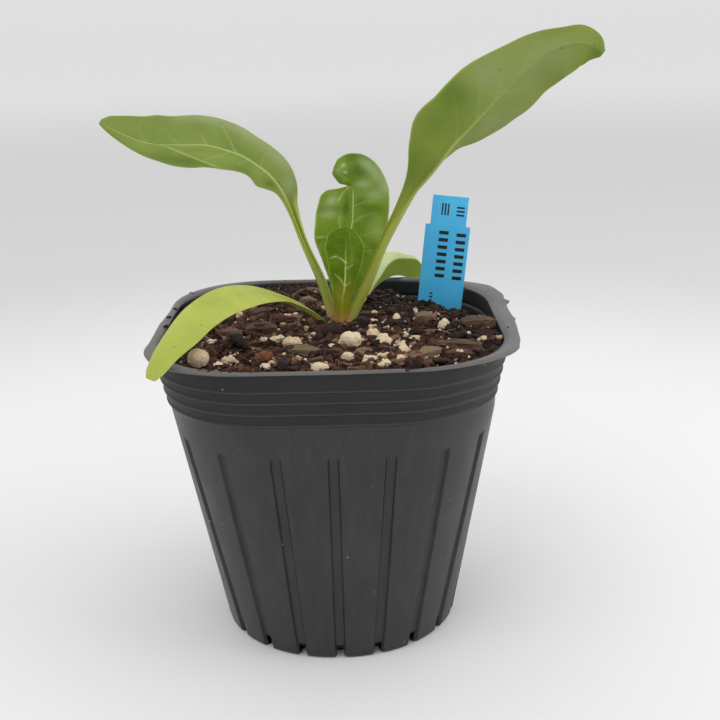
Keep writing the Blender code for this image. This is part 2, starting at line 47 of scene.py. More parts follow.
MM = 0.001
POT_HEIGHT = 100.0
POT_WALL = 0.85
FOOT_HALF = 38.6
FOOT_CORNER = 37.3
FOOT_ROUND = 1.4
BAND_Z = 82.3
BAND_HALF = 50.6
BAND_CORNER = 34.0
BAND_STEPS = 4
BAND_PITCH = 3.55
BAND_STEP_OUT = 0.4
NECK_HALF = 53.1
NECK_CORNER = 33.2
LIP_CORNER = 30.5
FLUTE_COUNT = 20
FLUTE_WIDTH = 3.7
FLUTE_FLOOR = 0.62
FLUTE_DEPTH = 1.0
FLUTE_TOP = 72.0
DRAIN_TOP = 4.5
DRAIN_INSET = 4.0

# How far the hand-trimmed lip stands out beyond its regular outline, by direction in degrees.
LIP_TRIM = ((-180, 0.0), (-160, -0.3), (-150, 0.3), (-141, 0.5), (-125, -0.8), (-110, -1.0), (-87, -0.5),
            (-64, -2.0), (-51, -2.0), (-42, -0.8), (-37, 0.4), (-33, 1.1), (-30, 0.4), (-22, 0.9), (-12, 1.7),
            (-7, 1.8), (-4, 2.6), (0, 1.9), (10, 1.7), (14.5, 1.9), (18, 3.7), (21, 2.1), (26, 2.6),
            (30, 2.3), (36, 3.0), (39, 2.1), (44, 0.5), (60, 0.0), (120, -0.5),
            (148, -1.0), (166, -0.9), (180, 0.0))
# One ridge of the band and the rolled lip in section: how far up and how far out, and for the
# lip how much of its trimmed edge a point takes up.
RIDGE_SECTION = ((0.0, 0.0), (0.12, 0.12), (0.28, 0.38), (0.5, 0.58), (0.75, 0.60),
                 (1.0, 0.48), (1.35, 0.34), (2.0, 0.34), (2.9, 0.38))
LIP_SECTION = ((-1.2, 0.0, 0), (-0.6, 0.05, 0), (-0.22, 0.18, 0.1), (-0.05, 0.4, 0.2),
               (0.0, 0.8, 0.45), (0.0, 1.3, 0.75), (-0.06, 1.65, 0.95), (-0.22, 1.8, 1.0))
# How far the band is squeezed in on its right, by direction in degrees.
BAND_PINCH = ((-75, 0.0), (-50, 0.7), (30, 0.7), (55, 0.0))
# Places across one channel, in millimetres from its middle, close together on its sloping sides.
CHANNEL_SIDE = (0.5, 0.9, 1.15, 1.3, 1.45, 1.6, 1.75, 1.9, 2.1)
RIB_POINTS = 6
DRAIN_COLUMNS = range(6, 12)


def by_direction(angle, table):
    """Read a table of directions in degrees and distances at the given angles."""
    return np.interp(np.degrees(angle), *zip(*table))


def rounded_square(around, half, corner):
    """Points and outward directions at fractions of the way round a square with round corners."""
    flat = half - corner
    arc = 0.5 * math.pi * corner
    side = 2 * flat + arc
    walked = (np.asarray(around) % 1.0) * 4 * side + flat + 0.5 * arc
    quarter = np.floor(walked / side)
    along = walked - quarter * side - 0.5 * arc
    turn = np.where(along < 0, along, np.maximum(along - 2 * flat, 0)) / corner
    x = flat + corner * np.cos(turn)
    y = np.clip(along, 0, 2 * flat) - flat + corner * np.sin(turn)
    spin = quarter * 0.5 * math.pi
    points = np.stack((x * np.cos(spin) - y * np.sin(spin), x * np.sin(spin) + y * np.cos(spin)), 1)
    return points, np.stack((np.cos(turn + spin), np.sin(turn + spin)), 1)


def lattice_noise(x, y, size, seed):
    """Smooth random height between -1 and 1, with bumps about one size across."""
    table = np.random.default_rng(seed).uniform(-1, 1, (256, 256))
    x, y = np.asarray(x) / size, np.asarray(y) / size
    i, j = np.floor(x).astype(int), np.floor(y).astype(int)
    u, v = x - i, y - j
    u, v = u * u * (3 - 2 * u), v * v * (3 - 2 * v)
    i, j, k, m = i & 255, j & 255, (i + 1) & 255, (j + 1) & 255
    return ((table[i, j] * (1 - u) + table[k, j] * u) * (1 - v)
            + (table[i, m] * (1 - u) + table[k, m] * u) * v)


def sheet_faces(rows, columns, closed=False, skip=None):
    """Quads over a grid of points, with an optional test for quads to leave out."""
    faces = []
    for i in range(rows - 1):
        for j in range(columns if closed else columns - 1):
            k = (j + 1) % columns
            if skip is None or not skip(i, j):
                low, high = i * columns, (i + 1) * columns
                faces.append((low + j, low + k, high + k, high + j))
    return faces


def add_piece(name, mesh, material, smooth):
    """Put a mesh into the scene as a piece."""
    made = bpy.data.objects.new(name, mesh)
    bpy.context.scene.collection.objects.link(made)
    if material is not None:
        mesh.materials.append(material)
    if smooth:
        mesh.shade_smooth()
    return made


def piece_from(name, points, faces, material=None, smooth=True):
    """A piece whose points are given in millimetres."""
    mesh = bpy.data.meshes.new(name)
    mesh.from_pydata((np.asarray(points) * MM).tolist(), [], faces)
    mesh.validate()
    return add_piece(name, mesh, material, smooth)


def piece_of(name, build, material, smooth=True):
    """A piece of a finished bmesh, in metres."""
    mesh = bpy.data.meshes.new(name)
    build.to_mesh(mesh)
    build.free()
    return add_piece(name, mesh, material, smooth)


def store(piece, name, values, kind="FLOAT"):
    """Keep a number or a vector on every point of a piece's mesh."""
    layer = piece.data.attributes.new(name, kind, "POINT")
    values = np.asarray(values, np.float32).ravel()
    layer.data.foreach_set("value" if kind == "FLOAT" else "vector", values)


def node(tree, kind, inputs=None, **settings):
    """Add one node; an input is a value, or a node or socket that feeds it."""
    made = tree.nodes.new(kind)
    for name, value in settings.items():
        setattr(made, name, value)
    for key, value in (inputs or {}).items():
        if isinstance(value, bpy.types.Node):
            value = value.outputs[0]
        if isinstance(value, bpy.types.NodeSocket):
            tree.links.new(value, made.inputs[key])
        else:
            made.inputs[key].default_value = value
    return made


def maths(tree, operation, *values):
    """One sum on numbers, nodes or sockets."""
    return node(tree, "ShaderNodeMath", dict(enumerate(values)), operation=operation)


def product(tree, first, second):
    """Two numbers, nodes or sockets multiplied."""
    return maths(tree, "MULTIPLY", first, second)


def vectors(tree, operation, inputs):
    """One sum on vectors."""
    return node(tree, "ShaderNodeVectorMath", inputs, operation=operation)


def ramp_between(tree, value, low, high, start=0.0, end=1.0, smooth=True):
    """The value mapped from low..high to start..end and held there."""
    return node(tree, "ShaderNodeMapRange", {0: value, 1: low, 2: high, 3: start, 4: end},
                interpolation_type="SMOOTHSTEP" if smooth else "LINEAR")


def finish_with_nodes(piece, tree, values):
    """Run a Geometry Nodes tree and the piece's other modifiers, and keep the plain mesh."""
    stack = piece.modifiers.new("nodes", "NODES")
    stack.node_group = tree
    for item in tree.interface.items_tree:
        if item.in_out == "INPUT" and item.name in values:
            stack[item.identifier] = values[item.name]
    while piece.modifiers[0] != stack:
        piece.modifiers.move(piece.modifiers.find("nodes"), 0)
    keep_evaluated(piece)


def keep_evaluated(piece):
    """Replace a piece's mesh by its evaluated mesh and clear its modifiers."""
    bpy.context.view_layer.update()
    graph = bpy.context.evaluated_depsgraph_get()
    mesh = bpy.data.meshes.new_from_object(piece.evaluated_get(graph), depsgraph=graph)
    piece.modifiers.clear()
    piece.data = mesh


def geometry_tree(name, sockets):
    """A Geometry Nodes tree with a geometry input and output and the named inputs."""
    tree = bpy.data.node_groups.new(name, "GeometryNodeTree")
    tree.interface.new_socket("Geometry", in_out="INPUT", socket_type="NodeSocketGeometry")
    for label, kind, value in sockets:
        made = tree.interface.new_socket(label, in_out="INPUT", socket_type="NodeSocket" + kind)
        if value is not None:
            made.default_value = value
    tree.interface.new_socket("Geometry", in_out="OUTPUT", socket_type="NodeSocketGeometry")
    return tree, node(tree, "NodeGroupInput")


def end_tree(tree, entry, geometry):
    """Realize the instances, set the material and lead the result out."""
    real = node(tree, "GeometryNodeRealizeInstances", {0: geometry})
    painted = node(tree, "GeometryNodeSetMaterial",
                   {"Geometry": real, "Material": entry.outputs["Material"]})
    node(tree, "NodeGroupOutput", {0: painted})


def shader(name, **values):
    """A material with one Principled shader whose plain values are set by name."""
    material = bpy.data.materials.new(name)
    material.use_nodes = True
    surface = material.node_tree.nodes["Principled BSDF"]
    for key, value in values.items():
        surface.inputs[key.replace("_", " ")].default_value = value
    return material, material.node_tree, surface


def feed(surface, **sources):
    """Lead nodes or sockets into a shader's inputs by name."""
    for key, source in sources.items():
        socket = source.outputs[0] if isinstance(source, bpy.types.Node) else source
        surface.id_data.links.new(socket, surface.inputs[key.replace("_", " ")])


def object_place(tree):
    """Where each point lies in the object, in metres."""
    return node(tree, "ShaderNodeTexCoord").outputs["Object"]


def pattern(tree, vector, kind, scale, **settings):
    """A noise or Voronoi texture on a vector; names with a capital are inputs, the rest settings."""
    numbers = {key: value for key, value in settings.items() if key[0].isupper()}
    rest = {key: value for key, value in settings.items() if not key[0].isupper()}
    return node(tree, "ShaderNodeTex" + kind, {"Vector": vector, "Scale": scale, **numbers}, **rest)


def colour_mix(tree, factor, first, second, blend="MIX"):
    """Mix two colours, each three numbers or a socket, and give the result's socket."""
    first, second = ((*c, 1) if isinstance(c, tuple) else c for c in (first, second))
    made = node(tree, "ShaderNodeMix", {0: factor, 6: first, 7: second},
                data_type="RGBA", blend_type=blend)
    return made.outputs[2]


def bump(tree, surface, height, distance, strength=1.0):
    """Fine relief from a height pattern, in metres."""
    made = node(tree, "ShaderNodeBump", {"Strength": strength, "Distance": distance, "Height": height})
    feed(surface, Normal=made)


def pot_levels():
    """Height, half width, corner radius and lip weight of every ring of the sheet."""
    rows = [(0.0, FOOT_HALF - FOOT_ROUND - inset, FOOT_CORNER - FOOT_ROUND - inset, 0)
            for inset in (DRAIN_INSET - FOOT_ROUND, 1.4, 0.5)]
    for k in range(5):
        bend = k / 4 * 0.5 * math.pi
        out = FOOT_ROUND * (math.sin(bend) - 1)
        rows.append((FOOT_ROUND * (1 - math.cos(bend)), FOOT_HALF + out, FOOT_CORNER + out, 0))
    heights = [2.8, DRAIN_TOP, *np.linspace(8, 66, 15), *np.linspace(69, 75, 9), 77, 79.5, 81.6]
    for z in heights:
        t = (z - FOOT_ROUND) / (BAND_Z - FOOT_ROUND)
        rows.append((z, FOOT_HALF + t * (BAND_HALF - FOOT_HALF),
                     FOOT_CORNER + t * (BAND_CORNER - FOOT_CORNER), 0))
    half, rise = BAND_HALF, (NECK_HALF - BAND_HALF - BAND_STEPS * BAND_STEP_OUT) / BAND_STEPS
    for step in range(BAND_STEPS):
        z = BAND_Z + step * BAND_PITCH
        corner = BAND_CORNER + (step + 1) / BAND_STEPS * (NECK_CORNER - BAND_CORNER)
        for up, out in RIDGE_SECTION:
            rows.append((z + up, half + out + rise * up / BAND_PITCH, corner, 0))
        half += BAND_STEP_OUT + rise
    deck = POT_HEIGHT - POT_WALL
    for up, out, lip in LIP_SECTION:
        corner = NECK_CORNER + out + lip * (LIP_CORNER - NECK_CORNER - 1.8)
        rows.append((deck + up, NECK_HALF + out, corner, lip))
    return rows


def pot_sheet():
    """The formed sheet before its channels: points, quads and what the channels need to know."""
    spots = np.array([-far for far in reversed(CHANNEL_SIDE)] + [0.0, *CHANNEL_SIDE])
    levels = pot_levels()
    pitch = 1.0 / FLUTE_COUNT
    points, outward, around, length = [], [], [], []
    for z, half, corner, lip in levels:
        perimeter = 8 * (half - corner) + 2 * math.pi * corner
        side = CHANNEL_SIDE[-1] / perimeter
        rib = np.linspace(side, pitch - side, RIB_POINTS + 2)[1:-1]
        one = np.concatenate((spots / perimeter, rib))
        places = np.concatenate([one + k * pitch for k in range(FLUTE_COUNT)])
        flat, out = rounded_square(places, half, corner)
        angle = np.arctan2(flat[:, 1], flat[:, 0])
        high = np.full(len(flat), z)
        sway = 0.10 * z / 100 * lattice_noise(angle * 12, high, 22, 5)
        curl = lip * (0.10 * np.sin(3 * angle + 0.5) + 0.12 * lattice_noise(angle * 30, high * 0, 9, 8) - 0.1)
        pinch = by_direction(angle, BAND_PINCH) * np.clip((z - 78) / 4, 0, 1) * (lip == 0)
        flat = flat + out * (sway - pinch + lip * by_direction(angle, LIP_TRIM))[:, None]
        high = np.minimum(high + curl, POT_HEIGHT - POT_WALL - 0.01)
        points.append(np.column_stack((flat, high)))
        outward.append(np.column_stack((out, np.zeros(len(out)))))
        around.append(places)
        length.append(np.full(len(places), perimeter))
    columns = len(points[0])
    per_flute = columns // FLUTE_COUNT
    drain_rows = sum(1 for row in levels if row[0] < DRAIN_TOP)
    faces = sheet_faces(len(levels), columns, True,
                        lambda i, j: i < drain_rows and j % per_flute in DRAIN_COLUMNS)
    faces.append(tuple(reversed(range(columns))))
    sheet = piece_from("nursery_pot_shell", np.concatenate(points), faces)
    store(sheet, "around", np.concatenate(around))
    store(sheet, "length", np.concatenate(length) * MM)
    store(sheet, "outward", np.concatenate(outward), "FLOAT_VECTOR")
    return sheet


def channel_tree():
    """Press evenly spaced upright channels into the sheet, up to a height."""
    tree, entry = geometry_tree("pressed_channels", (
        ("Count", "Float", 20.0), ("Width", "Float", 0.0033), ("Floor", "Float", 0.5),
        ("Depth", "Float", 0.0013), ("Top", "Float", 0.072), ("Fade", "Float", 0.0015),
        ("Material", "Material", None)))
    take = entry.outputs
    around, length, outward = (
        node(tree, "GeometryNodeInputNamedAttribute", {"Name": name}, data_type=kind)
        for name, kind in (("around", "FLOAT"), ("length", "FLOAT"), ("outward", "FLOAT_VECTOR")))
    turned = product(tree, around, take["Count"])
    away = maths(tree, "ABSOLUTE", maths(tree, "SUBTRACT", turned, maths(tree, "ROUND", turned)))
    away = maths(tree, "DIVIDE", product(tree, away, length), take["Count"])
    outer = product(tree, take["Width"], 0.5)
    sunk = ramp_between(tree, away, product(tree, outer, take["Floor"]), outer, 1.0, 0.0)
    place = node(tree, "ShaderNodeSeparateXYZ", {0: node(tree, "GeometryNodeInputPosition")})
    low = maths(tree, "SUBTRACT", take["Top"], take["Fade"])
    high = maths(tree, "ADD", take["Top"], take["Fade"])
    below = ramp_between(tree, place.outputs[2], low, high, 1.0, 0.0)
    depth = product(tree, product(tree, sunk, below), take["Depth"])
    press = vectors(tree, "SCALE", {0: outward, "Scale": product(tree, depth, -1.0)})
    pressed = node(tree, "GeometryNodeSetPosition", {"Geometry": entry.outputs[0], "Offset": press})
    end_tree(tree, entry, pressed)
    return tree


def pot_plastic():
    """Thin satin charcoal plastic: blotchy and a little dusty, with painted shade on the band under
    the lip, painted highlights on its ridges, and a lip paled by dust and a painted highlight.
    """
    material, tree, surface = shader("charcoal_pot_plastic", Specular_IOR_Level=0.45)
    place = object_place(tree)
    height = node(tree, "ShaderNodeSeparateXYZ", {0: place}).outputs[2]
    cloud = pattern(tree, place, "Noise", 38.0, Detail=5.0, Roughness=0.55)
    drawn = node(tree, "ShaderNodeMapping", {"Vector": place, "Scale": (1.0, 1.0, 0.12)})
    streak = pattern(tree, drawn, "Noise", 420.0, Detail=4.0, Roughness=0.7)
    colour = colour_mix(tree, ramp_between(tree, streak, 0.35, 0.7),
                        (0.0185, 0.0185, 0.0198), (0.0265, 0.0265, 0.0283))
    dust = product(tree, ramp_between(tree, cloud, 0.46, 0.70),
                   ramp_between(tree, height, 0.070, 0.092, 0.45, 0.8))
    colour = colour_mix(tree, dust, colour, (0.044, 0.043, 0.043))
    # Painted shade: the stepped band under the lip is darkened where the lip shades it.
    shaded_band = product(tree, ramp_between(tree, height, 0.0820, 0.0826),
                   ramp_between(tree, height, 0.0985, 0.0989, 1.0, 0.0))
    colour = colour_mix(tree, product(tree, shaded_band, 0.95), colour, (0.0080, 0.0076, 0.0078))
    # Painted highlight: a pale line along each ridge of the band.
    above_band = maths(tree, "SUBTRACT", height, BAND_Z * MM)
    step = maths(tree, "FRACT", maths(tree, "DIVIDE", above_band, BAND_PITCH * MM))
    ridge = product(tree, ramp_between(tree, step, 0.07, 0.15),
                    ramp_between(tree, step, 0.20, 0.30, 1.0, 0.0))
    ridge = product(tree, product(tree, ridge, shaded_band),
                    ramp_between(tree, height, 0.0955, 0.0965, 1.0, 0.0))
    colour = colour_mix(tree, product(tree, ridge, 0.6), colour, (0.048, 0.047, 0.047))
    dots = ramp_between(tree, pattern(tree, place, "Voronoi", 260.0), 0.05, 0.075, 1.0, 0.0)
    rare = ramp_between(tree, pattern(tree, place, "Noise", 75.0, Detail=2.0), 0.56, 0.62)
    dirt = product(tree, dots, product(tree, rare, 0.8))
    colour = colour_mix(tree, dirt, colour, (0.42, 0.40, 0.36))
    # Pale lip top: partly dust, partly a painted highlight.
    lip = ramp_between(tree, height, 0.09905, 0.0993)
    colour = colour_mix(tree, lip, colour, (0.105, 0.100, 0.095))
    rough = maths(tree, "ADD", ramp_between(tree, cloud, 0.3, 0.75, 0.36, 0.52), product(tree, shaded_band, 0.14))
    feed(surface, Base_Color=colour, Roughness=rough)
    grain = maths(tree, "ADD", product(tree, streak, 0.6), product(tree, cloud, 1.5))
    bump(tree, surface, grain, 0.0002, 0.5)
    return material


pot = pot_sheet()
wall = pot.modifiers.new("wall", "SOLIDIFY")
wall.thickness = POT_WALL * MM
wall.offset = -1.0
finish_with_nodes(pot, channel_tree(), {
    "Count": float(FLUTE_COUNT), "Width": FLUTE_WIDTH * MM, "Floor": FLUTE_FLOOR, "Depth": FLUTE_DEPTH * MM,
    "Top": FLUTE_TOP * MM, "Fade": 1.5 * MM, "Material": pot_plastic()})
pot.data.set_sharp_from_angle(angle=math.radians(50))
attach(pot, "root")
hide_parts("nursery_pot")


# ------------------------------------------------------------------ potting soil
# Dark moist potting mix fills the pot nearly to the lip and has settled at the back right.
# The root ball is one body; over it lies a loose crust of clods, crumbs, bark flakes,
# pumice bits and thin root fibres.

SOIL_TOP = 97.4
SOIL_DROP = 7.4
SOIL_DROP_START = 25.0
SOIL_DROP_RUN = 40.0
SOIL_SWELL = 30.0
SOIL_SWELL_HEIGHT = 0.35
SOIL_HALF = NECK_HALF - POT_WALL - BAND_STEP_OUT
SOIL_CORNER = NECK_CORNER - POT_WALL
CRUST_REACH = 52.5
CRUST_STEP = 0.46
CRUST_THICK = 2.2
CRUST_WALL_GAP = 0.5
BITS_WALL_GAP = 1.4
CROWN_X, CROWN_Y = 2.5, 5.0
CROWN_CLEAR = 7.5


def soil_level(x, y):
    """Height of the settled surface of the root ball."""
    t = np.clip((0.8 * x + 0.6 * y - SOIL_DROP_START) / SOIL_DROP_RUN, 0, 1)
    swell = np.sin(2 * math.pi * x / SOIL_SWELL + 1.0) * np.cos(2 * math.pi * y / SOIL_SWELL)
    return SOIL_TOP - SOIL_DROP * t * t * (3 - 2 * t) + SOIL_SWELL_HEIGHT * swell


def crust_level(x, y):
    """Height of the crumbly top, always a little above the root ball."""
    clods = 1.0 - np.abs(lattice_noise(x, y, 5.2, 11)) * 1.6
    lumps = 1.0 - np.abs(lattice_noise(x + 3.3, y, 2.4, 12)) * 1.5
    grains = lattice_noise(x, y, 1.1, 13)
    return soil_level(x, y) + 0.55 + 0.55 * clods + 0.38 * lumps + 0.22 * grains


def outline_room(x, y, half, corner):
    """Distance from points to a rounded square, positive inside."""
    flat = half - corner
    dx, dy = np.maximum(np.abs(x) - flat, 0), np.maximum(np.abs(y) - flat, 0)
    return corner - np.hypot(dx, dy)


def back_right_shade(tree, place):
    """Painted shade that darkens the mix towards the back right of the pot."""
    split = node(tree, "ShaderNodeSeparateXYZ", {0: place}).outputs
    way = maths(tree, "ADD", product(tree, split[0], 0.8), product(tree, split[1], 0.5))
    return colour_mix(tree, ramp_between(tree, way, -0.004, 0.028), (1, 0.92, 0.87), (0.36, 0.30, 0.31))


def soil_look():
    """Peat and composted bark: near black and brown by the clod, with painted shade towards the back right.
    """
    material, tree, surface = shader("moist_potting_mix", Specular_IOR_Level=0.35)
    place = object_place(tree)
    clod = pattern(tree, place, "Noise", 260.0, Detail=5.0, Roughness=0.7)
    warm = pattern(tree, place, "Noise", 900.0, Detail=3.0, Roughness=0.6)
    colour = colour_mix(tree, ramp_between(tree, clod, 0.38, 0.66),
                        (0.013, 0.0068, 0.0048), (0.072, 0.031, 0.016))
    colour = colour_mix(tree, ramp_between(tree, warm, 0.60, 0.78), colour, (0.17, 0.066, 0.030))
    # Painted shade: darker towards the back right of the pot.
    colour = colour_mix(tree, 1.0, colour, back_right_shade(tree, place), "MULTIPLY")
    feed(surface, Base_Color=colour, Roughness=ramp_between(tree, clod, 0.3, 0.7, 0.62, 0.95))
    bump(tree, surface, warm, 0.0006)
    return material


soil_material = soil_look()
root_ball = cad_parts["potting_soil"]
root_ball.data.materials.clear()
root_ball.data.materials.append(soil_material)

ticks = np.arange(-CRUST_REACH, CRUST_REACH + 0.1, CRUST_STEP)
grid_x, grid_y = np.meshgrid(ticks, ticks)
crust_room = outline_room(grid_x, grid_y, SOIL_HALF, SOIL_CORNER)
inside = crust_room > CRUST_WALL_GAP
level = crust_level(grid_x, grid_y)
crust_points = np.column_stack((grid_x.ravel(), grid_y.ravel(), level.ravel()))
cells = inside[:-1, :-1] & inside[1:, :-1] & inside[:-1, 1:] & inside[1:, 1:]
rows_in, columns_in = np.nonzero(cells)
corner = rows_in * len(ticks) + columns_in
quads = np.stack((corner, corner + 1, corner + len(ticks) + 1, corner + len(ticks)), 1)
used, place_of = np.unique(quads, return_inverse=True)
crust = piece_from("soil_crust", crust_points[used], place_of.reshape(quads.shape).tolist(),
                   soil_material)
ground = crust.copy()
ground.data = crust.data.copy()
bpy.context.scene.collection.objects.link(ground)
slab = crust.modifiers.new("depth", "SOLIDIFY")
slab.thickness = CRUST_THICK * MM
slab.offset = -1.0
keep_evaluated(crust)
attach(crust, "root")


def random_between(tree, seed, low, high):
    """A random number or vector between two ends for each copy."""
    if not isinstance(low, (tuple, bpy.types.Node)):
        made = node(tree, "FunctionNodeRandomValue", {2: low, 3: high, "Seed": seed}, data_type="FLOAT")
        return made.outputs[1]
    made = node(tree, "FunctionNodeRandomValue", {0: low, 1: high, "Seed": seed}, data_type="FLOAT_VECTOR")
    return made.outputs[0]


def scatter_tree(name, form):
    """Lumps, flakes or fibres laid at random over a surface, each with a tint of its own."""
    tree, entry = geometry_tree(name, (
        ("Density", "Float", 100000.0), ("Smallest", "Float", 0.0004), ("Largest", "Float", 0.0012),
        ("Length", "Float", 1.0), ("Breadth", "Float", 1.0), ("Thickness", "Float", 1.0),
        ("Tilt", "Float", 3.14), ("Lift", "Float", 0.0002), ("Seed", "Int", 1),
        ("Material", "Material", None)))
    take = entry.outputs
    spread = node(tree, "GeometryNodeInputNamedAttribute", {"Name": "spread"}, data_type="FLOAT")
    laid = node(tree, "GeometryNodeDistributePointsOnFaces",
                {"Mesh": take[0], "Density": product(tree, take["Density"], spread), "Seed": take["Seed"]})
    if form == "fibre":
        start = node(tree, "GeometryNodeCurveQuadraticBezier", {
            "Resolution": 7, "Start": (-0.5, 0, -0.02), "Middle": (0.05, 0.28, 0.12), "End": (0.5, 0, -0.02)})
        ring = node(tree, "GeometryNodeCurvePrimitiveCircle", {"Resolution": 4, "Radius": 0.018})
        source = node(tree, "GeometryNodeCurveToMesh",
                      {"Curve": start, "Profile Curve": ring, "Fill Caps": True})
    else:
        if form == "lump":
            ball = node(tree, "GeometryNodeMeshIcoSphere", {"Radius": 0.5, "Subdivisions": 2})
        else:
            ball = node(tree, "GeometryNodeMeshCube",
                        {"Size": (1, 1, 1), "Vertices X": 4, "Vertices Y": 3, "Vertices Z": 2})
        shake = node(tree, "ShaderNodeTexNoise",
                     {"Vector": node(tree, "GeometryNodeInputPosition"), "Scale": 2.2, "Detail": 2.0},
                     noise_dimensions="3D")
        push = vectors(tree, "SUBTRACT", {0: shake.outputs["Color"], 1: (0.5, 0.5, 0.5)})
        push = vectors(tree, "SCALE", {0: push, "Scale": 0.9})
        source = node(tree, "GeometryNodeSetPosition", {"Geometry": ball, "Offset": push})
    seed = take["Seed"]
    size = random_between(tree, seed, take["Smallest"], take["Largest"])
    skew = random_between(tree, maths(tree, "ADD", seed, 7), (0.7, 0.7, 0.7), (1.3, 1.3, 1.3))
    shape = node(tree, "ShaderNodeCombineXYZ",
                 {0: take["Length"], 1: take["Breadth"], 2: take["Thickness"]})
    shape = vectors(tree, "MULTIPLY", {0: shape, 1: skew})
    shape = vectors(tree, "SCALE", {0: shape, "Scale": size})
    lean = node(tree, "ShaderNodeCombineXYZ", {0: take["Tilt"], 1: take["Tilt"], 2: 3.1416})
    back = vectors(tree, "SCALE", {0: lean, "Scale": -1.0})
    turn = random_between(tree, maths(tree, "ADD", seed, 3), back, lean)
    rise = node(tree, "ShaderNodeCombineXYZ", {2: take["Lift"]})
    raised = node(tree, "GeometryNodeSetPosition", {"Geometry": laid, "Offset": rise})
    copies = node(tree, "GeometryNodeInstanceOnPoints",
                  {"Points": raised, "Instance": source, "Rotation": turn, "Scale": shape})
    tint = random_between(tree, maths(tree, "ADD", seed, 11), 0.0, 1.0)
    kept = node(tree, "GeometryNodeStoreNamedAttribute", {"Geometry": copies, "Name": "tint", "Value": tint},
                data_type="FLOAT", domain="INSTANCE")
    end_tree(tree, entry, kept)
    return tree


def scatter(name, form, spread, material, slot, seed, density, sizes, lift, **shape):
    """Lay one kind of bit over the crust where spread allows it, and keep it as a plain mesh."""
    laid = ground.copy()
    laid.data = ground.data.copy()
    laid.name = name
    laid.data.name = name
    bpy.context.scene.collection.objects.link(laid)
    store(laid, "spread", spread)
    finish_with_nodes(laid, scatter_tree(name, form), {
        "Density": density, "Smallest": sizes[0] * MM, "Largest": sizes[1] * MM, "Lift": lift * MM,
        "Seed": seed, "Material": material, **shape})
    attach(laid, "root")


def tinted(name, shades, grain, rough, depth, spec=0.35, shade_back_right=False, streak=1.0):
    """A material for many small bits, dark to light by each bit's tint, with middle shades at stops."""
    material, tree, surface = shader(name, Specular_IOR_Level=spec, Roughness=rough)
    place = object_place(tree)
    tint = node(tree, "ShaderNodeAttribute", attribute_name="tint").outputs["Fac"]
    drawn = node(tree, "ShaderNodeMapping",
                 {"Vector": place, "Rotation": (0, 0, 0.35), "Scale": (streak, 1.0, 1.0)})
    mottle = pattern(tree, drawn, "Noise", grain, Detail=4.0, Roughness=0.65)
    blend = maths(tree, "ADD", tint, maths(tree, "MULTIPLY_ADD", mottle, 0.7, -0.35))
    ramp = node(tree, "ShaderNodeValToRGB", {0: blend})
    marks = ramp.color_ramp.elements
    dark, light, *between = shades
    marks[0].color = (*dark, 1)
    marks[1].color = (*light, 1)
    for stop, colour in between:
        marks.new(stop).color = (*colour, 1)
    colour = ramp.outputs[0]
    # Painted shade: darker towards the back right of the pot.
    if shade_back_right:
        colour = colour_mix(tree, 1.0, colour, back_right_shade(tree, place), "MULTIPLY")
    feed(surface, Base_Color=colour)
    bump(tree, surface, mottle, depth)
    return material


crumb_look = tinted(
    "soil_crumbs", ((0.010, 0.0055, 0.004), (0.145, 0.056, 0.026), (0.5, (0.036, 0.016, 0.010))),
    grain=1500.0, rough=0.75, depth=0.0005, spec=0.3, shade_back_right=True)
flake_look = tinted(
    "bark_flakes", ((0.026, 0.013, 0.009), (0.21, 0.13, 0.085), (0.45, (0.085, 0.040, 0.022))),
    grain=1200.0, rough=0.8, depth=0.0003, shade_back_right=True)
pumice_look = tinted(
    "pumice_bits", ((0.40, 0.25, 0.14), (0.78, 0.68, 0.54), (0.4, (0.60, 0.45, 0.31))),
    grain=1800.0, rough=0.8, depth=0.0003)
fibre_look = tinted(
    "root_fibres", ((0.05, 0.022, 0.012), (0.36, 0.22, 0.12), (0.6, (0.14, 0.060, 0.030))),
    grain=900.0, rough=0.8, depth=0.0001)

spots = np.array([v.co for v in ground.data.vertices]) / MM
spot_x, spot_y = spots[:, 0], spots[:, 1]
room = outline_room(spot_x, spot_y, SOIL_HALF, SOIL_CORNER)
crown_away = np.hypot(spot_x - CROWN_X, spot_y - CROWN_Y)
open_soil = np.clip((room - BITS_WALL_GAP) / 1.2, 0, 1) * (crown_away > CROWN_CLEAR)


def patch(x, y, wide):
    """A soft round patch of the soil surface."""
    return np.exp(-((spot_x - x) ** 2 + (spot_y - y) ** 2) / (2 * wide * wide))


scatter("soil_crumbs", "lump", open_soil, crumb_look, "soil",
        seed=21, density=420000.0, sizes=(0.5, 1.7), lift=0.15)
scatter("soil_clods", "lump", open_soil * (room > 4), crumb_look, "soil",
        seed=22, density=34000.0, sizes=(2.2, 4.8), lift=0.1, Thickness=0.7)
flake_spread = 0.55 + 0.9 * patch(28, -34, 14) + 0.5 * patch(-25, -5, 16)
scatter("bark_flakes", "flake", open_soil * (room > 2.6) * flake_spread, flake_look, "bark",
        seed=23, density=62000.0, sizes=(1.6, 4.2), lift=0.5,
        Length=1.2, Breadth=0.5, Thickness=0.22, Tilt=0.5)
pumice_spread = (0.25 + 1.6 * patch(14, -28, 13) + 0.8 * patch(-33, -36, 9)
                 + 0.6 * patch(30, 6, 9) + 0.5 * patch(44, -8, 9))
scatter("pumice_bits", "lump", open_soil * pumice_spread, pumice_look, "pumice",
        seed=24, density=52000.0, sizes=(0.35, 1.3), lift=0.5)
scatter("root_fibres", "fibre", open_soil * (room > 4), fibre_look, "soil",
        seed=25, density=26000.0, sizes=(3.0, 8.0), lift=0.7, Tilt=0.35)
bpy.data.objects.remove(ground, do_unlink=True)


# ------------------------------------------------------------------ pumice grains and bark chips
# The larger loose bits lie where the hand that filled the pot left them: porous cream
# pumice, mostly in front of the plant, and weathered chips of composted bark.

# The pairs of axes that relief is laid over, and the share of its own height that a lump's
# middle stands above the crumbs.
PLANES = ((0, 1), (1, 2), (2, 0))
LUMP_MIDDLE = 0.30


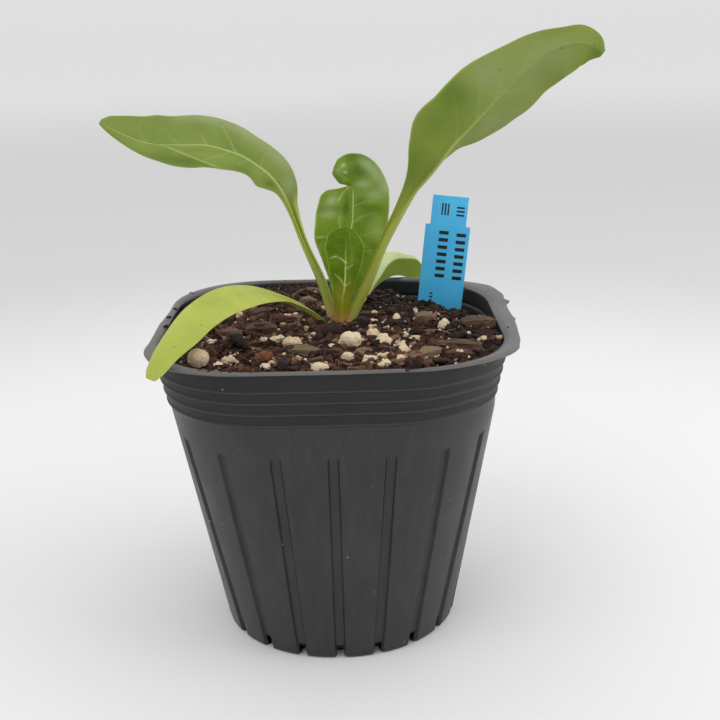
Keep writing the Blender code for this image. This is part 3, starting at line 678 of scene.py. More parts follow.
def weathered(names, title, rounding, relief, material):
    """Finer copies of loose solids: merged, rounded and pitted, joined into one piece."""
    joined = bmesh.new()
    tint = joined.verts.layers.float.new("tint")
    random = np.random.default_rng(len(names))
    for name in names:
        chip = bmesh.new()
        chip.from_mesh(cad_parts[name].data)
        bmesh.ops.remove_doubles(chip, verts=chip.verts, dist=0.01 * MM)
        for smooth in rounding:
            bmesh.ops.subdivide_edges(chip, edges=chip.edges[:], cuts=1, use_grid_fill=True, smooth=smooth)
        bmesh.ops.triangulate(chip, faces=chip.faces[:])
        chip.normal_update()
        spots = np.array([v.co for v in chip.verts]) / MM
        push = np.zeros(len(spots))
        for size, depth in relief:
            for a, b in PLANES:
                seed = int(size * 100) + a
                push += depth / 2 * lattice_noise(spots[:, a] + 40, spots[:, b] + 40, size, seed)
        for vert, far in zip(chip.verts, push):
            vert.co += vert.normal * (float(far) * MM)
        shade = random.uniform(0.45, 0.90)
        copies = {vert: joined.verts.new(vert.co) for vert in chip.verts}
        for made in copies.values():
            made[tint] = shade
        for face in chip.faces:
            joined.faces.new([copies[v] for v in face.verts])
        chip.free()
    made = piece_of(title, joined, material)
    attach(made, "root")
    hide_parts(*names)


stone_look = tinted(
    "pumice_grains", ((0.44, 0.27, 0.14), (0.82, 0.69, 0.50), (0.45, (0.68, 0.51, 0.32))),
    grain=900.0, rough=0.9, depth=0.0009)
chip_look = tinted(
    "bark_chips", ((0.026, 0.012, 0.008), (0.29, 0.20, 0.125), (0.5, (0.084, 0.043, 0.025))),
    grain=1100.0, rough=0.85, depth=0.0014, streak=0.10)
orange_look = tinted(
    "orange_crumbs", ((0.13, 0.040, 0.016), (0.42, 0.20, 0.10)), grain=1500.0, rough=0.85, depth=0.0006)
scale_look = tinted(
    "papery_scales", ((0.34, 0.17, 0.09), (0.60, 0.40, 0.26)), grain=900.0, rough=0.7, depth=0.0003)
stones = [name for name in sorted(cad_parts) if name.startswith("pumice")]
chips = [name for name in sorted(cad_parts) if name.startswith("bark")]
weathered(stones, "pumice_grains", rounding=(0.6, 0.3, 0.0),
          relief=((2.4, 0.62), (1.1, 0.42), (0.5, 0.16)), material=stone_look)
weathered(chips, "bark_chips", rounding=(0.0, 0.0),
          relief=((2.6, 0.35), (0.8, 0.20), (0.4, 0.10)), material=chip_look)


def loose_lumps(title, spots, form, relief, shade, material):
    """Separate lumps resting on the crumbs: x, y, width and, where it matters, height of the middle."""
    random = np.random.default_rng(len(spots) + 5)
    points, faces, tints = [], [], []
    base = 0
    for k, (x, y, wide, *height) in enumerate(spots):
        ball = bmesh.new()
        bmesh.ops.create_icosphere(ball, subdivisions=3 if wide > 1.4 else 2, radius=0.5)
        shape = np.array([v.co for v in ball.verts])
        way = shape / np.linalg.norm(shape, axis=1)[:, None]
        for size, depth in relief:
            for a, b in PLANES:
                push = lattice_noise(shape[:, a] + 7 * k + 30, shape[:, b] + 3 * k + 30, size, 50 + a)
                shape = shape + way * (depth * push)[:, None]
        shape = shape * np.array(form) * random.uniform(0.8, 1.2, 3) * wide
        turn = Matrix.Rotation(random.uniform(0, 6.28), 3, "Z")
        turn = turn @ Matrix.Rotation(random.uniform(-0.4, 0.4), 3, "X")
        z = float(crust_level(np.array(x), np.array(y))) + LUMP_MIDDLE * wide * form[2]
        z = height[0] if height else z
        points.append(shape @ np.array(turn).T + np.array((x, y, z)))
        faces += [tuple(base + v.index for v in face.verts) for face in ball.faces]
        tints.append(np.full(len(shape), random.uniform(*shade)))
        base += len(shape)
        ball.free()
    made = piece_from(title, np.concatenate(points), faces, material)
    store(made, "tint", np.concatenate(tints))
    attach(made, "root")


loose_lumps(
    "peat_clods",
    ((-1.8, -15.1, 8.0), (-22.7, -9.7, 5.5), (-27.1, -28.0, 7.0), (-34.8, -35.0, 3.6), (-40.5, -8.0, 5.0),
     (-12.5, -31.0, 4.5), (26.0, -14.5, 5.0), (38.0, -20.0, 4.5), (-44.0, 8.0, 4.5), (31.5, -44.0, 4.5),
     (-6.0, 27.0, 5.0), (-30.0, 33.0, 5.0), (12.0, 25.0, 4.5), (21.0, -6.0, 4.5), (-16.5, 2.5, 4.5)),
    form=(1.0, 0.8, 0.62), relief=((0.45, 0.20), (0.20, 0.10), (0.10, 0.05)), shade=(0.25, 0.70),
    material=crumb_look)
loose_lumps(
    "orange_crumbs",
    ((-19.1, -39.3, 4.5), (-34.9, -50.9, 1.0, 100.0), (-31.4, -52.0, 0.9, 100.0), (-9.0, -20.0, 1.6),
     (-26.0, 6.0, 1.8), (14.0, -3.0, 1.5), (31.5, 1.0, 3.4)),
    form=(1.0, 0.8, 0.7), relief=((0.45, 0.22), (0.18, 0.16), (0.09, 0.09)), shade=(0.1, 0.8),
    material=orange_look)
loose_lumps(
    "lip_crumbs",
    ((-50.6, 38.0, 1.2, 99.8), (-53.0, 16.6, 1.4, 99.8), (-53.4, 5.9, 1.2, 99.8), (-53.6, 2.0, 0.9, 99.7),
     (-52.8, -4.6, 1.3, 99.8), (-18.5, 53.8, 1.0, 99.8), (53.9, -14.8, 1.1, 99.8),
     (-49.8, 36.6, 0.9, 99.8), (-33.3, -51.4, 1.4, 99.8), (-29.8, -52.4, 1.1, 99.8),
     (-36.2, -50.3, 1.1, 99.8), (-27.4, -52.9, 0.8, 99.8), (-21.8, -53.2, 0.9, 99.8)),
    form=(1.0, 0.85, 0.7), relief=((0.45, 0.18), (0.18, 0.12)), shade=(0.1, 0.6),
    material=crumb_look)
loose_lumps(
    "pumice_pebbles",
    ((-27.0, 21.4, 2.2), (-31.3, 9.8, 2.4), (-15.3, 7.1, 2.0), (-15.5, -2.8, 2.0), (-31.3, 0.5, 1.8),
     (-20.8, -21.1, 2.2), (-36.5, -19.9, 1.9), (-36.1, -14.6, 1.8), (-29.2, -39.5, 2.4),
     (-17.9, -46.5, 2.2), (-16.0, -42.6, 1.8), (-8.9, -40.1, 2.0), (-3.2, 16.3, 2.2), (-8.2, -8.4, 1.8),
     (-12.8, 10.9, 1.7), (-5.9, -14.7, 1.6), (13.1, 7.9, 2.2), (13.0, -0.1, 1.8), (16.6, 0.3, 1.6),
     (20.5, 4.6, 2.0), (23.3, 11.5, 2.2), (27.1, 13.2, 2.0), (33.2, 16.2, 2.4), (42.2, 15.2, 2.2),
     (44.7, 9.6, 2.0), (25.0, -20.2, 2.2), (26.4, -25.0, 1.8), (44.8, -24.2, 2.4), (50.0, -22.3, 1.6),
     (16.5, -8.0, 2.0), (-0.1, -26.2, 2.2), (37.0, -38.9, 2.4), (2.2, -24.1, 1.6), (12.8, -11.4, 2.6),
     (15.3, -21.7, 3.0), (20.7, -27.3, 3.2), (21.4, -34.0, 3.0), (20.3, -43.3, 2.8), (17.4, -37.9, 2.4),
     (14.9, -47.4, 2.6), (4.6, -36.9, 2.6), (11.6, -40.6, 2.8)),
    form=(1.0, 0.85, 0.75), relief=((0.5, 0.24), (0.22, 0.14), (0.10, 0.05)), shade=(0.15, 0.95),
    material=stone_look)
loose_lumps(
    "long_chips",
    ((47.4, -9.8, 7.0), (-38.0, 24.0, 6.0), (-22.0, -14.0, 5.5), (33.0, -27.5, 6.0), (9.5, -30.5, 5.0),
     (-45.0, -22.0, 5.5), (-4.0, -44.5, 5.0), (28.5, 4.5, 5.0), (42.0, -33.0, 5.0), (-10.0, 14.0, 5.0)),
    form=(1.3, 0.5, 0.26), relief=((0.6, 0.12), (0.16, 0.06)), shade=(0.25, 0.9),
    material=chip_look)
loose_lumps(
    "crown_scales",
    ((4.8, -3.2, 3.8, 98.9), (8.2, -5.4, 2.6, 98.6), (-0.8, -1.6, 2.2, 98.9)),
    form=(1.5, 0.5, 0.16), relief=((0.6, 0.14), (0.2, 0.06)), shade=(0.3, 0.9),
    material=scale_look)


# ------------------------------------------------------------------ leaves
# Each leaf grows from the crown on a channelled stalk that runs on as the midrib.
# The blade is a thin sheet that swells up between its side veins, with the midrib standing
# proud underneath; the seed leaves are smooth and paler.

# Stations from crown to tip in millimetres and degrees: x, y, z of the midrib, width of the
# left half, width of the right half, twist.  Marks on the blade are placed by how far along
# it they lie (0 to 1) and how far across (-1 right margin, 0 midrib, 1 left margin).
# A vein is along, across, along, across, strength; a patch of painted shade (in folds, pockets, under
# curled margins and where light shines through) or of painted sheen (greyish reflections and highlights)
# is along, across, length, breadth, strength; a crease is its two ends along and its height.
LEAVES = {
    "right_leaf": {
        "face": (-0.69, 0.12, 0.70), "fold": (25, 17), "droop": (0, 0), "keel": (1.45, 0.95, 0.1),
        "rows": (
            (4.0, 3.0, 97.2, 2.2, 2.2, -10), (10.5, 2.0, 110.0, 1.6, 1.7, -20),
            (17.0, 1.0, 125.0, 1.5, 1.8, -25), (25.5, -0.5, 139.0, 1.3, 4.2, -30),
            (31.0, -1.5, 145.5, 1.6, 9.1, -35), (34.5, -2.5, 150.0, 2.6, 12.6, -42),
            (38.0, -3.0, 154.5, 5.6, 15.0, -48), (42.5, -3.5, 159.0, 9.9, 14.4, -55),
            (51.5, -5.5, 168.5, 11.7, 13.1, -68), (60.0, -7.0, 177.0, 10.3, 8.9, -80),
            (65.5, -8.0, 180.8, 9.3, 6.9, -88), (70.5, -8.5, 182.6, 8.2, 5.5, -92),
            (74.5, -9.3, 182.9, 6.9, 5.4, -95), (78.0, -10.0, 181.8, 5.2, 3.9, -97),
            (80.3, -10.4, 180.0, 1.2, 1.2, -98)),
        "veins": ((0.56, 0.0, 0.64, -0.75, 0.20), (0.63, 0.0, 0.72, -0.75, 0.22),
                  (0.70, 0.0, 0.78, -0.70, 0.20), (0.78, 0.0, 0.86, -0.70, 0.18),
                  (0.55, 0.0, 0.63, 0.70, 0.18), (0.63, 0.0, 0.71, 0.75, 0.22),
                  (0.72, 0.0, 0.80, 0.70, 0.20), (0.81, 0.0, 0.88, 0.70, 0.16)),
        "painted_shade": ((0.640, -0.70, 0.045, 0.45, 0.95), (0.560, -0.60, 0.05, 0.45, 0.5),
                 (0.455, -0.75, 0.05, 0.5, 0.55), (0.990, 0.20, 0.022, 0.9, 0.9),
                 (0.90, -0.85, 0.03, 0.25, 0.35)),
        "painted_sheen": ((0.727, -0.55, 0.035, 0.35, 0.75), (0.650, 0.65, 0.04, 0.40, 0.55),
                  (0.903, 0.30, 0.035, 0.30, 0.45), (0.848, -0.15, 0.05, 0.25, 0.45),
                  (0.690, 0.95, 0.04, 0.30, 0.5), (0.80, 0.0, 0.16, 1.1, 0.55)),
        "specks": ((0.456, -0.20), (0.756, -0.45), (0.897, 0.05), (0.848, 0.90), (0.973, -0.10)),
    },
    "left_leaf": {
        "face": (0.66, -0.24, 0.70), "fold": (18, 12), "droop": (-8, -50), "keel": (1.35, 0.95, 0.3),
        "rows": (
            (0.5, 6.0, 97.2, 1.9, 1.9, -20), (-3.5, 7.5, 110.5, 1.5, 1.5, -30),
            (-9.0, 9.0, 123.5, 1.2, 1.3, -40), (-13.0, 10.5, 134.0, 1.4, 2.8, -45),
            (-15.5, 11.5, 139.5, 2.3, 5.6, -45), (-19.0, 13.0, 144.0, 5.8, 7.3, -45),
            (-23.0, 14.5, 147.0, 4.9, 7.8, -45), (-27.0, 16.0, 149.5, 6.0, 7.9, -45),
            (-31.0, 17.5, 151.0, 7.2, 9.0, -45), (-39.5, 20.5, 153.0, 8.6, 9.9, -45),
            (-48.5, 23.5, 153.0, 8.1, 10.6, -45), (-57.5, 27.0, 153.0, 5.3, 10.3, -45),
            (-62.5, 28.5, 154.0, 4.0, 9.4, -45), (-68.0, 30.5, 156.0, 2.9, 7.3, -45),
            (-72.0, 32.0, 157.8, 2.0, 5.3, -45), (-74.8, 33.2, 159.3, 1.3, 3.4, -45),
            (-76.2, 33.8, 160.1, 0.8, 1.2, -45)),
        "veins": ((0.556, 0.0, 0.596, -0.45, 0.55), (0.596, -0.45, 0.628, -0.82, 0.40),
                  (0.648, 0.0, 0.677, -0.42, 0.45), (0.479, 0.0, 0.492, -0.55, 0.30),
                  (0.579, 0.0, 0.596, 0.40, 0.35), (0.596, 0.40, 0.648, 0.80, 0.35),
                  (0.735, 0.0, 0.790, -0.55, 0.22), (0.840, 0.0, 0.890, -0.60, 0.22),
                  (0.520, 0.0, 0.535, 0.60, 0.25)),
        "painted_shade": ((0.425, 0.45, 0.022, 0.32, 0.85), (0.700, 0.78, 0.07, 0.16, 0.55),
                 (0.560, -0.20, 0.05, 0.20, 0.35), (0.690, 0.30, 0.05, 0.18, 0.35),
                 (0.780, 0.80, 0.05, 0.25, 0.35), (0.500, 0.80, 0.04, 0.2, 0.4)),
        "painted_sheen": ((0.46, -0.90, 0.05, 0.35, 0.8), (0.56, -0.92, 0.06, 0.25, 0.85),
                  (0.66, -0.95, 0.06, 0.2, 0.8), (0.74, -0.98, 0.04, 0.2, 0.6),
                  (0.393, -0.50, 0.025, 0.5, 0.5), (0.720, 0.10, 0.05, 0.15, 0.35)),
        "specks": ((0.628, -0.84), (0.415, -0.10)),
        "crease": (0.565, 0.820, 1.4),
    },
    "centre_leaf": {
        "face": (0.0, -1.0, 0.2), "fold": (20, 4), "droop": (0, 0), "keel": (1.5, 0.9, 0.3),
        "rows": (
            (3.0, 8.0, 97.2, 2.5, 2.8, 0), (4.0, 10.0, 108.5, 5.2, 6.0, 0),
            (5.0, 11.0, 116.0, 8.6, 9.0, 0), (6.0, 12.0, 123.5, 11.7, 11.5, 0),
            (7.0, 12.5, 130.0, 12.0, 11.6, 0), (7.3, 12.2, 136.5, 10.9, 11.8, 0),
            (7.3, 12.1, 137.6, 10.6, 11.7, 0), (7.3, 12.0, 138.7, 9.5, 11.7, 0),
            (7.3, 11.9, 139.6, 7.5, 11.6, 0), (7.3, 11.6, 140.3, 2.1, 11.1, 0),
            (7.1, 11.2, 141.3, 2.1, 10.2, 0), (6.4, 10.6, 142.4, 2.3, 9.5, 0),
            (5.3, 10.0, 143.4, 2.7, 8.7, 0), (4.2, 9.4, 144.1, 2.8, 7.5, 0),
            (3.0, 8.9, 144.6, 2.3, 6.2, 0), (2.2, 8.5, 144.9, 1.7, 5.0, 0),
            (1.6, 8.2, 145.1, 1.2, 4.0, 0), (1.1, 8.0, 145.2, 0.5, 1.8, 0)),
        "veins": ((0.544, 0.02, 0.560, 0.30, 0.55), (0.560, 0.30, 0.640, 0.36, 0.50),
                  (0.745, 0.42, 0.805, 0.24, 0.75), (0.488, 0.92, 0.497, 0.62, 0.7),
                  (0.470, 0.0, 0.560, -0.62, 0.35), (0.600, 0.0, 0.670, -0.60, 0.30),
                  (0.380, 0.0, 0.450, -0.70, 0.35), (0.400, 0.0, 0.470, 0.80, 0.35),
                  (0.700, 0.0, 0.740, -0.60, 0.25), (0.812, 0.25, 0.828, 0.22, 1.0)),
        "painted_shade": ((0.690, 0.19, 0.085, 0.10, 1.0), (0.882, -0.45, 0.035, 0.35, 0.9),
                 (0.724, -0.20, 0.035, 0.16, 0.8), (0.637, -0.35, 0.05, 0.25, 0.6),
                 (0.930, -0.80, 0.03, 0.30, 0.7), (0.52, -0.25, 0.05, 0.2, 0.5),
                 (0.965, 0.60, 0.05, 0.60, 0.8)),
        "painted_sheen": ((0.665, 0.68, 0.05, 0.20, 0.55), (0.745, 0.62, 0.035, 0.16, 0.6),
                  (0.856, -0.82, 0.03, 0.2, 0.6), (0.812, -0.95, 0.03, 0.2, 0.8),
                  (0.829, -0.28, 0.018, 0.26, 0.7), (0.879, -0.75, 0.025, 0.15, 0.5),
                  (0.775, -0.62, 0.03, 0.30, 0.5), (0.572, -0.80, 0.04, 0.25, 0.3),
                  (0.928, -0.15, 0.010, 0.07, 1.0), (0.954, -0.45, 0.012, 0.10, 1.0),
                  (0.965, -0.20, 0.02, 0.3, 0.4)),
        "specks": (),
    },
    "front_leaf": {
        "face": (0.0, 1.0, 0.2), "fold": (20, 10), "droop": (0, 0), "keel": (0.60, 0.40, 0.2),
        "rows": (
            (2.5, 1.0, 97.2, 2.4, 2.4, 0), (3.0, 0.0, 105.0, 2.9, 2.9, 0),
            (4.0, -0.5, 111.0, 3.4, 3.9, 0), (4.5, -1.0, 118.0, 5.2, 5.8, 0),
            (4.6, -1.0, 122.5, 5.9, 6.5, 0), (4.6, -0.7, 125.5, 4.9, 6.0, 0),
            (4.6, -0.3, 127.6, 3.4, 5.0, 0), (4.6, -0.1, 128.6, 2.3, 3.0, 0),
            (4.6, 0.0, 129.2, 0.7, 1.0, 0)),
        "veins": ((0.424, 0.0, 0.531, -0.70, 0.95), (0.424, 0.0, 0.459, 0.45, 0.95),
                  (0.661, 0.0, 0.715, -0.50, 0.8), (0.715, -0.50, 0.693, -0.82, 0.7),
                  (0.271, 0.0, 0.330, -0.60, 0.8), (0.271, 0.0, 0.275, 0.45, 0.7),
                  (0.600, 0.0, 0.640, 0.45, 0.45)),
        "painted_shade": ((0.88, 0.0, 0.10, 0.8, 0.6), (0.60, 0.55, 0.08, 0.3, 0.45)),
        "painted_sheen": ((0.70, 0.35, 0.10, 0.16, 0.45), (0.52, 0.25, 0.05, 0.16, 0.3)),
        "specks": (),
    },
    "front_cotyledon": {
        "face": (0.0, 0.0, 1.0), "fold": (5, 5), "droop": (0, 0), "keel": (0.95, 0.7, 0.15),
        "rows": (
            (-2.0, 3.0, 97.6, 1.2, 1.2, -20), (-5.0, 0.0, 101.2, 1.1, 1.1, -22),
            (-8.5, -4.5, 105.0, 1.2, 1.3, -24), (-13.0, -9.0, 108.5, 1.3, 1.7, -28),
            (-17.0, -14.0, 111.0, 2.7, 2.8, -28), (-22.5, -19.5, 113.3, 5.0, 4.0, -28),
            (-28.0, -25.5, 114.3, 6.5, 4.6, -28), (-33.0, -31.0, 114.0, 7.0, 4.3, -28),
            (-38.5, -37.0, 111.8, 7.0, 3.7, -28), (-42.5, -42.0, 108.0, 6.2, 3.4, -28),
            (-46.5, -46.5, 103.8, 4.7, 2.6, -28), (-49.2, -49.6, 99.7, 3.3, 1.8, -28),
            (-50.2, -50.7, 97.9, 2.0, 0.9, -28)),
        "veins": (),
        "painted_shade": ((0.95, 0.0, 0.08, 1.2, 0.45), (0.72, 0.5, 0.08, 0.4, 0.25)),
        "painted_sheen": ((0.45, -0.6, 0.10, 0.5, 0.35), (0.80, -0.9, 0.12, 0.35, 0.5)),
        "specks": ((0.50, -0.10), (0.74, 0.55), (0.86, 0.30)),
    },
    "back_cotyledon": {
        "face": (0.0, 0.0, 1.0), "fold": (10, 10), "droop": (0, 0), "keel": (1.0, 0.7, 0.2),
        "rows": (
            (5.5, 8.0, 98.2, 1.1, 1.1, 20), (9.5, 21.0, 100.4, 2.2, 1.1, 35),
            (13.0, 33.0, 101.6, 4.2, 0.9, 45), (16.5, 44.0, 103.2, 6.0, 2.2, 48),
            (19.0, 52.0, 105.0, 5.2, 5.3, 54), (22.2, 59.2, 105.6, 2.8, 8.6, 60),
            (26.5, 64.0, 104.8, 1.6, 9.8, 60), (30.5, 69.2, 103.0, 1.2, 8.8, 55),
            (33.0, 73.4, 99.0, 1.2, 5.4, 50), (34.4, 75.6, 94.8, 0.4, 0.4, 45)),
        "veins": (),
        "painted_shade": ((0.80, -0.9, 0.10, 0.3, 0.4),),
        "painted_sheen": (),
        "specks": ((0.70, -0.45),),
    },
}


# Where a stalk turns into blade: its half width there, over how much more, and how far along
# it is all blade.
BLADE_FROM = 2.2
BLADE_OVER = 2.5
ALL_BLADE_AT = 0.6
# Millimetres: size of the margin's waves, depth of veins above and their height beneath,
# groove over the midrib, width of a vein at its start and size of a speck.
WAVE_SIZE = 6.0
VEIN_SUNK = 0.10
VEIN_PROUD = 0.14
RIB_GROOVE = 0.08
VEIN_WIDE = 0.34
SPECK_SIZE = 0.27
# Shares of the midrib's width: how far it stands out beneath, and the stalk's channel.
KEEL_PROUD = 1.4
STALK_CHANNEL = 0.42


def smooth_rows(rows, samples):
    """A smooth curve through every station, with a fixed number of samples between them."""
    rows = np.array(rows, float)
    reach = np.concatenate(([0.0], np.cumsum(np.linalg.norm(np.diff(rows[:, :3], axis=0), axis=1))))
    slope = np.zeros_like(rows)
    for i in range(len(rows)):
        a, b = max(i - 1, 0), min(i + 1, len(rows) - 1)
        slope[i] = (rows[b] - rows[a]) / (reach[b] - reach[a])
    curve = []
    for i in range(len(rows) - 1):
        span = reach[i + 1] - reach[i]
        for t in np.arange(samples) / samples:
            curve.append((2 * t**3 - 3 * t**2 + 1) * rows[i] + (t**3 - 2 * t**2 + t) * span * slope[i]
                         + (3 * t**2 - 2 * t**3) * rows[i + 1] + (t**3 - t**2) * span * slope[i + 1])
    curve.append(rows[-1])
    return np.array(curve)


def vein_weight(veins, along, across, half_width, length):
    """How near points are to any of the marked veins, 0 to 1; each vein thins towards its end."""
    weight = np.zeros_like(across)
    spot_x, spot_y = along * length, across * half_width
    for t0, s0, t1, s1, strength in veins:
        w0 = np.interp(t0, along[:, 0], half_width[:, 0])
        w1 = np.interp(t1, along[:, 0], half_width[:, 0])
        start, end = np.array((t0 * length, s0 * w0)), np.array((t1 * length, s1 * w1))
        run = end - start
        part = np.clip(((spot_x - start[0]) * run[0] + (spot_y - start[1]) * run[1]) / (run @ run), 0, 1)
        bow = 0.05 * np.linalg.norm(run) * np.sin(math.pi * part)
        side = np.array((-run[1], run[0])) / np.linalg.norm(run)
        away = np.hypot(spot_x - start[0] - part * run[0] - bow * side[0],
                        spot_y - start[1] - part * run[1] - bow * side[1])
        wide = VEIN_WIDE - 0.12 * part
        weight = np.maximum(weight, strength * (1 - 0.5 * part) * np.exp(-(away / wide) ** 2))
    return weight


def patch_weight(patches, along, across):
    """Soft patches on the blade, 0 to 1."""
    clear = np.ones_like(across)
    for t, s, length, breadth, strength in patches:
        clear *= 1 - strength * np.exp(-((along - t) / length) ** 2 - ((across - s) / breadth) ** 2)
    return 1 - clear


def speck_weight(specks, along, across, half_width, length):
    """Small round specks on the blade, 0 to 1."""
    weight = np.zeros_like(across)
    for t, s in specks:
        wide = np.interp(t, along[:, 0], half_width[:, 0])
        away = np.hypot((along - t) * length, (across - s) * wide)
        weight = np.maximum(weight, np.exp(-(away / SPECK_SIZE) ** 2))
    return weight


def soft_crease(crease, along, share, width):
    """Lift and pale line of the ridge that slants from a blade's margin to its midrib."""
    low_end, high_end, height = crease
    part = np.clip((along - low_end) / (high_end - low_end), 0, 1)
    ridge = 1 - part ** 1.3
    tent = np.where(share < ridge, share / np.maximum(ridge, 0.02),
                    np.clip((1.15 - share) / (1.15 - np.minimum(ridge, 1.1)), 0, 1))
    ends = (np.clip((along - low_end + 0.03) / 0.06, 0, 1)
            * np.clip((high_end + 0.01 - along) / 0.08, 0, 1))
    line = np.exp(-((share - ridge) * width / 0.22) ** 2) * ends * (part > 0) * 0.8
    return height * ends * tent ** 1.5, line


def leaf_axes(curve, reach, face):
    """Ways to a leaf's left and out of its upper side, at every station of its midrib."""
    near = np.exp(-0.5 * ((reach[:, None] - reach[None, :]) / 0.8) ** 2) * np.gradient(reach)[None, :]
    along = near @ np.gradient(curve[:, :3], reach, axis=0)
    along /= np.linalg.norm(along, axis=1)[:, None]
    up = face - along * (along @ face)[:, None]
    up /= np.linalg.norm(up, axis=1)[:, None]
    left = np.cross(up, along)
    twist = np.radians(curve[:, 5])[:, None]
    return left * np.cos(twist) + up * np.sin(twist), up * np.cos(twist) - left * np.sin(twist)


def face_outwards(piece):
    """Turn every face of a closed piece outwards."""
    shell = bmesh.new()
    shell.from_mesh(piece.data)
    bmesh.ops.recalc_face_normals(shell, faces=shell.faces)
    shell.to_mesh(piece.data)
    shell.free()


def leaf_piece(name, thick, samples, strips, waves, pucker, swell, seed, material):
    """One leaf as a closed loft: upper side from margin to margin, then back along the under side."""
    leaf = LEAVES[name]
    curve = smooth_rows(leaf["rows"], samples)
    steps = np.linalg.norm(np.diff(curve[:, :3], axis=0), axis=1)
    reach = np.concatenate(([0.0], np.cumsum(steps)))
    length = reach[-1]
    left, up = leaf_axes(curve, reach, np.array(leaf["face"]))
    t = (reach / length)[:, None]
    fold = np.radians((1 - t) * leaf["fold"][0] + t * leaf["fold"][1])
    bladed = np.clip((np.maximum(curve[:, 3], curve[:, 4]) - BLADE_FROM) / BLADE_OVER, 0, 1)
    bladed[int(ALL_BLADE_AT * len(bladed)):] = 1
    blade = bladed[:, None]
    start = reach[np.argmax(bladed > 0.3)]
    keel = np.interp(reach, [0.0, start, length], leaf["keel"])[:, None]
    share = np.linspace(0, 1, strips + 1) ** 0.95
    mids = 0.5 * (share[1:] + share[:-1])
    tops, bottoms, marks = [], [], []
    for side, column in ((1.0, 3), (-1.0, 4)):
        wavy = 1 + waves * lattice_noise(reach, reach * 0 + 9 * side, WAVE_SIZE, seed)
        width = curve[:, column][:, None] * wavy[:, None]
        droop = np.radians((1 - t) * leaf["droop"][0] + t * leaf["droop"][1]) if side > 0 else 0 * t
        bend = (fold + droop * mids[None, :])[:, :, None]
        move = (width * np.diff(share))[:, :, None] * (
            side * np.cos(bend) * left[:, None] + np.sin(bend) * up[:, None])
        flat = np.concatenate((np.zeros((len(curve), 1, 3)), np.cumsum(move, axis=1)), 1)
        flat = curve[:, None, :3] + flat
        tip = (fold + droop * share[None, :])[:, :, None]
        out = -side * np.sin(tip) * left[:, None] + np.cos(tip) * up[:, None]
        across, run = width * share, reach[:, None] + 0 * share
        grown, signed = t + 0 * share, side * share + 0 * t
        vein = vein_weight(leaf["veins"], grown, signed, width + 0 * share, length) * blade
        rib = np.exp(-(across / (0.55 * keel)) ** 2)
        puff = lattice_noise(run + 9 * side, across, swell, seed + 1)
        puff = puff + 0.5 * lattice_noise(run, across + 30, 0.45 * swell, seed + 2)
        ruffle = lattice_noise(run, across * 0 + 5 * side, 1.2 * swell, seed + 4)
        relief = puff * np.minimum(across / 3.0, 1) * pucker * blade
        relief = relief + pucker * blade * share ** 3 * ruffle
        if "crease" in leaf and side > 0:
            lift, line = soft_crease(leaf["crease"], grown, share, width)
            relief = relief + lift
            vein = np.maximum(vein, line)
        groove = RIB_GROOVE if leaf["veins"] else 0.0
        half_thick = 0.5 * thick * (1 - 0.7 * share[None, :] ** 4) * np.minimum(1, 0.35 + width / 3)
        round_rib = np.sqrt(np.clip(1 - (across / np.minimum(keel, width)) ** 2, 0, 1))
        channel = STALK_CHANNEL * keel * round_rib ** 2 * (1 - 0.85 * blade)
        proud = 0.55 + 0.45 * (1 - blade)
        top = relief + half_thick - VEIN_SUNK * vein - channel - groove * rib * blade
        bottom = relief - half_thick - VEIN_PROUD * vein - KEEL_PROUD * keel * round_rib * proud
        tops.append(flat + out * top[:, :, None])
        bottoms.append(flat + out * bottom[:, :, None])
        marks.append({
            "share": signed, "vein": vein, "rib": rib, "across": across * side,
            # Patches of painted shade and painted sheen on the blade.
            "painted_shade": patch_weight(leaf["painted_shade"], grown, signed) * blade,
            "painted_sheen": patch_weight(leaf["painted_sheen"], grown, signed) * blade,
            "speck": speck_weight(leaf["specks"], grown, signed, width, length)})

    def loop_of(left_top, right_top, left_bottom, right_bottom):
        return np.concatenate((left_top[:, ::-1], right_top[:, 1:],
                               right_bottom[:, ::-1], left_bottom[:, 1:]), 1)

    loop = loop_of(*tops, *bottoms)
    count = loop.shape[1]
    upper = np.zeros((len(curve), count))
    upper[:, :2 * strips + 1] = 1
    faces = sheet_faces(len(curve), count, True)
    faces.append(tuple(reversed(range(count))))
    faces.append(tuple(range((len(curve) - 1) * count, len(curve) * count)))
    piece = piece_from(name, loop.reshape(-1, 3), faces, material)
    flats = {key: loop_of(marks[0][key], marks[1][key], marks[0][key], marks[1][key]) for key in marks[0]}
    for key in ("share", "vein", "rib", "painted_shade", "painted_sheen", "speck"):
        store(piece, key, flats[key])
    store(piece, "upper", upper)
    store(piece, "blade", np.repeat(bladed, count))
    store(piece, "grown", np.repeat(reach / length, count))
    layer = piece.data.uv_layers.new(name="leaf_map")
    chart = np.stack((flats["across"].ravel() * 0.1, np.repeat(reach, count) * 0.1), 1)
    corners = np.zeros(len(piece.data.loops), int)
    piece.data.loops.foreach_get("vertex_index", corners)
    layer.data.foreach_set("uv", chart[corners].astype(np.float32).ravel())
    face_outwards(piece)
    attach(piece, "root")
    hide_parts(name + "_blade", name + "_stalk")


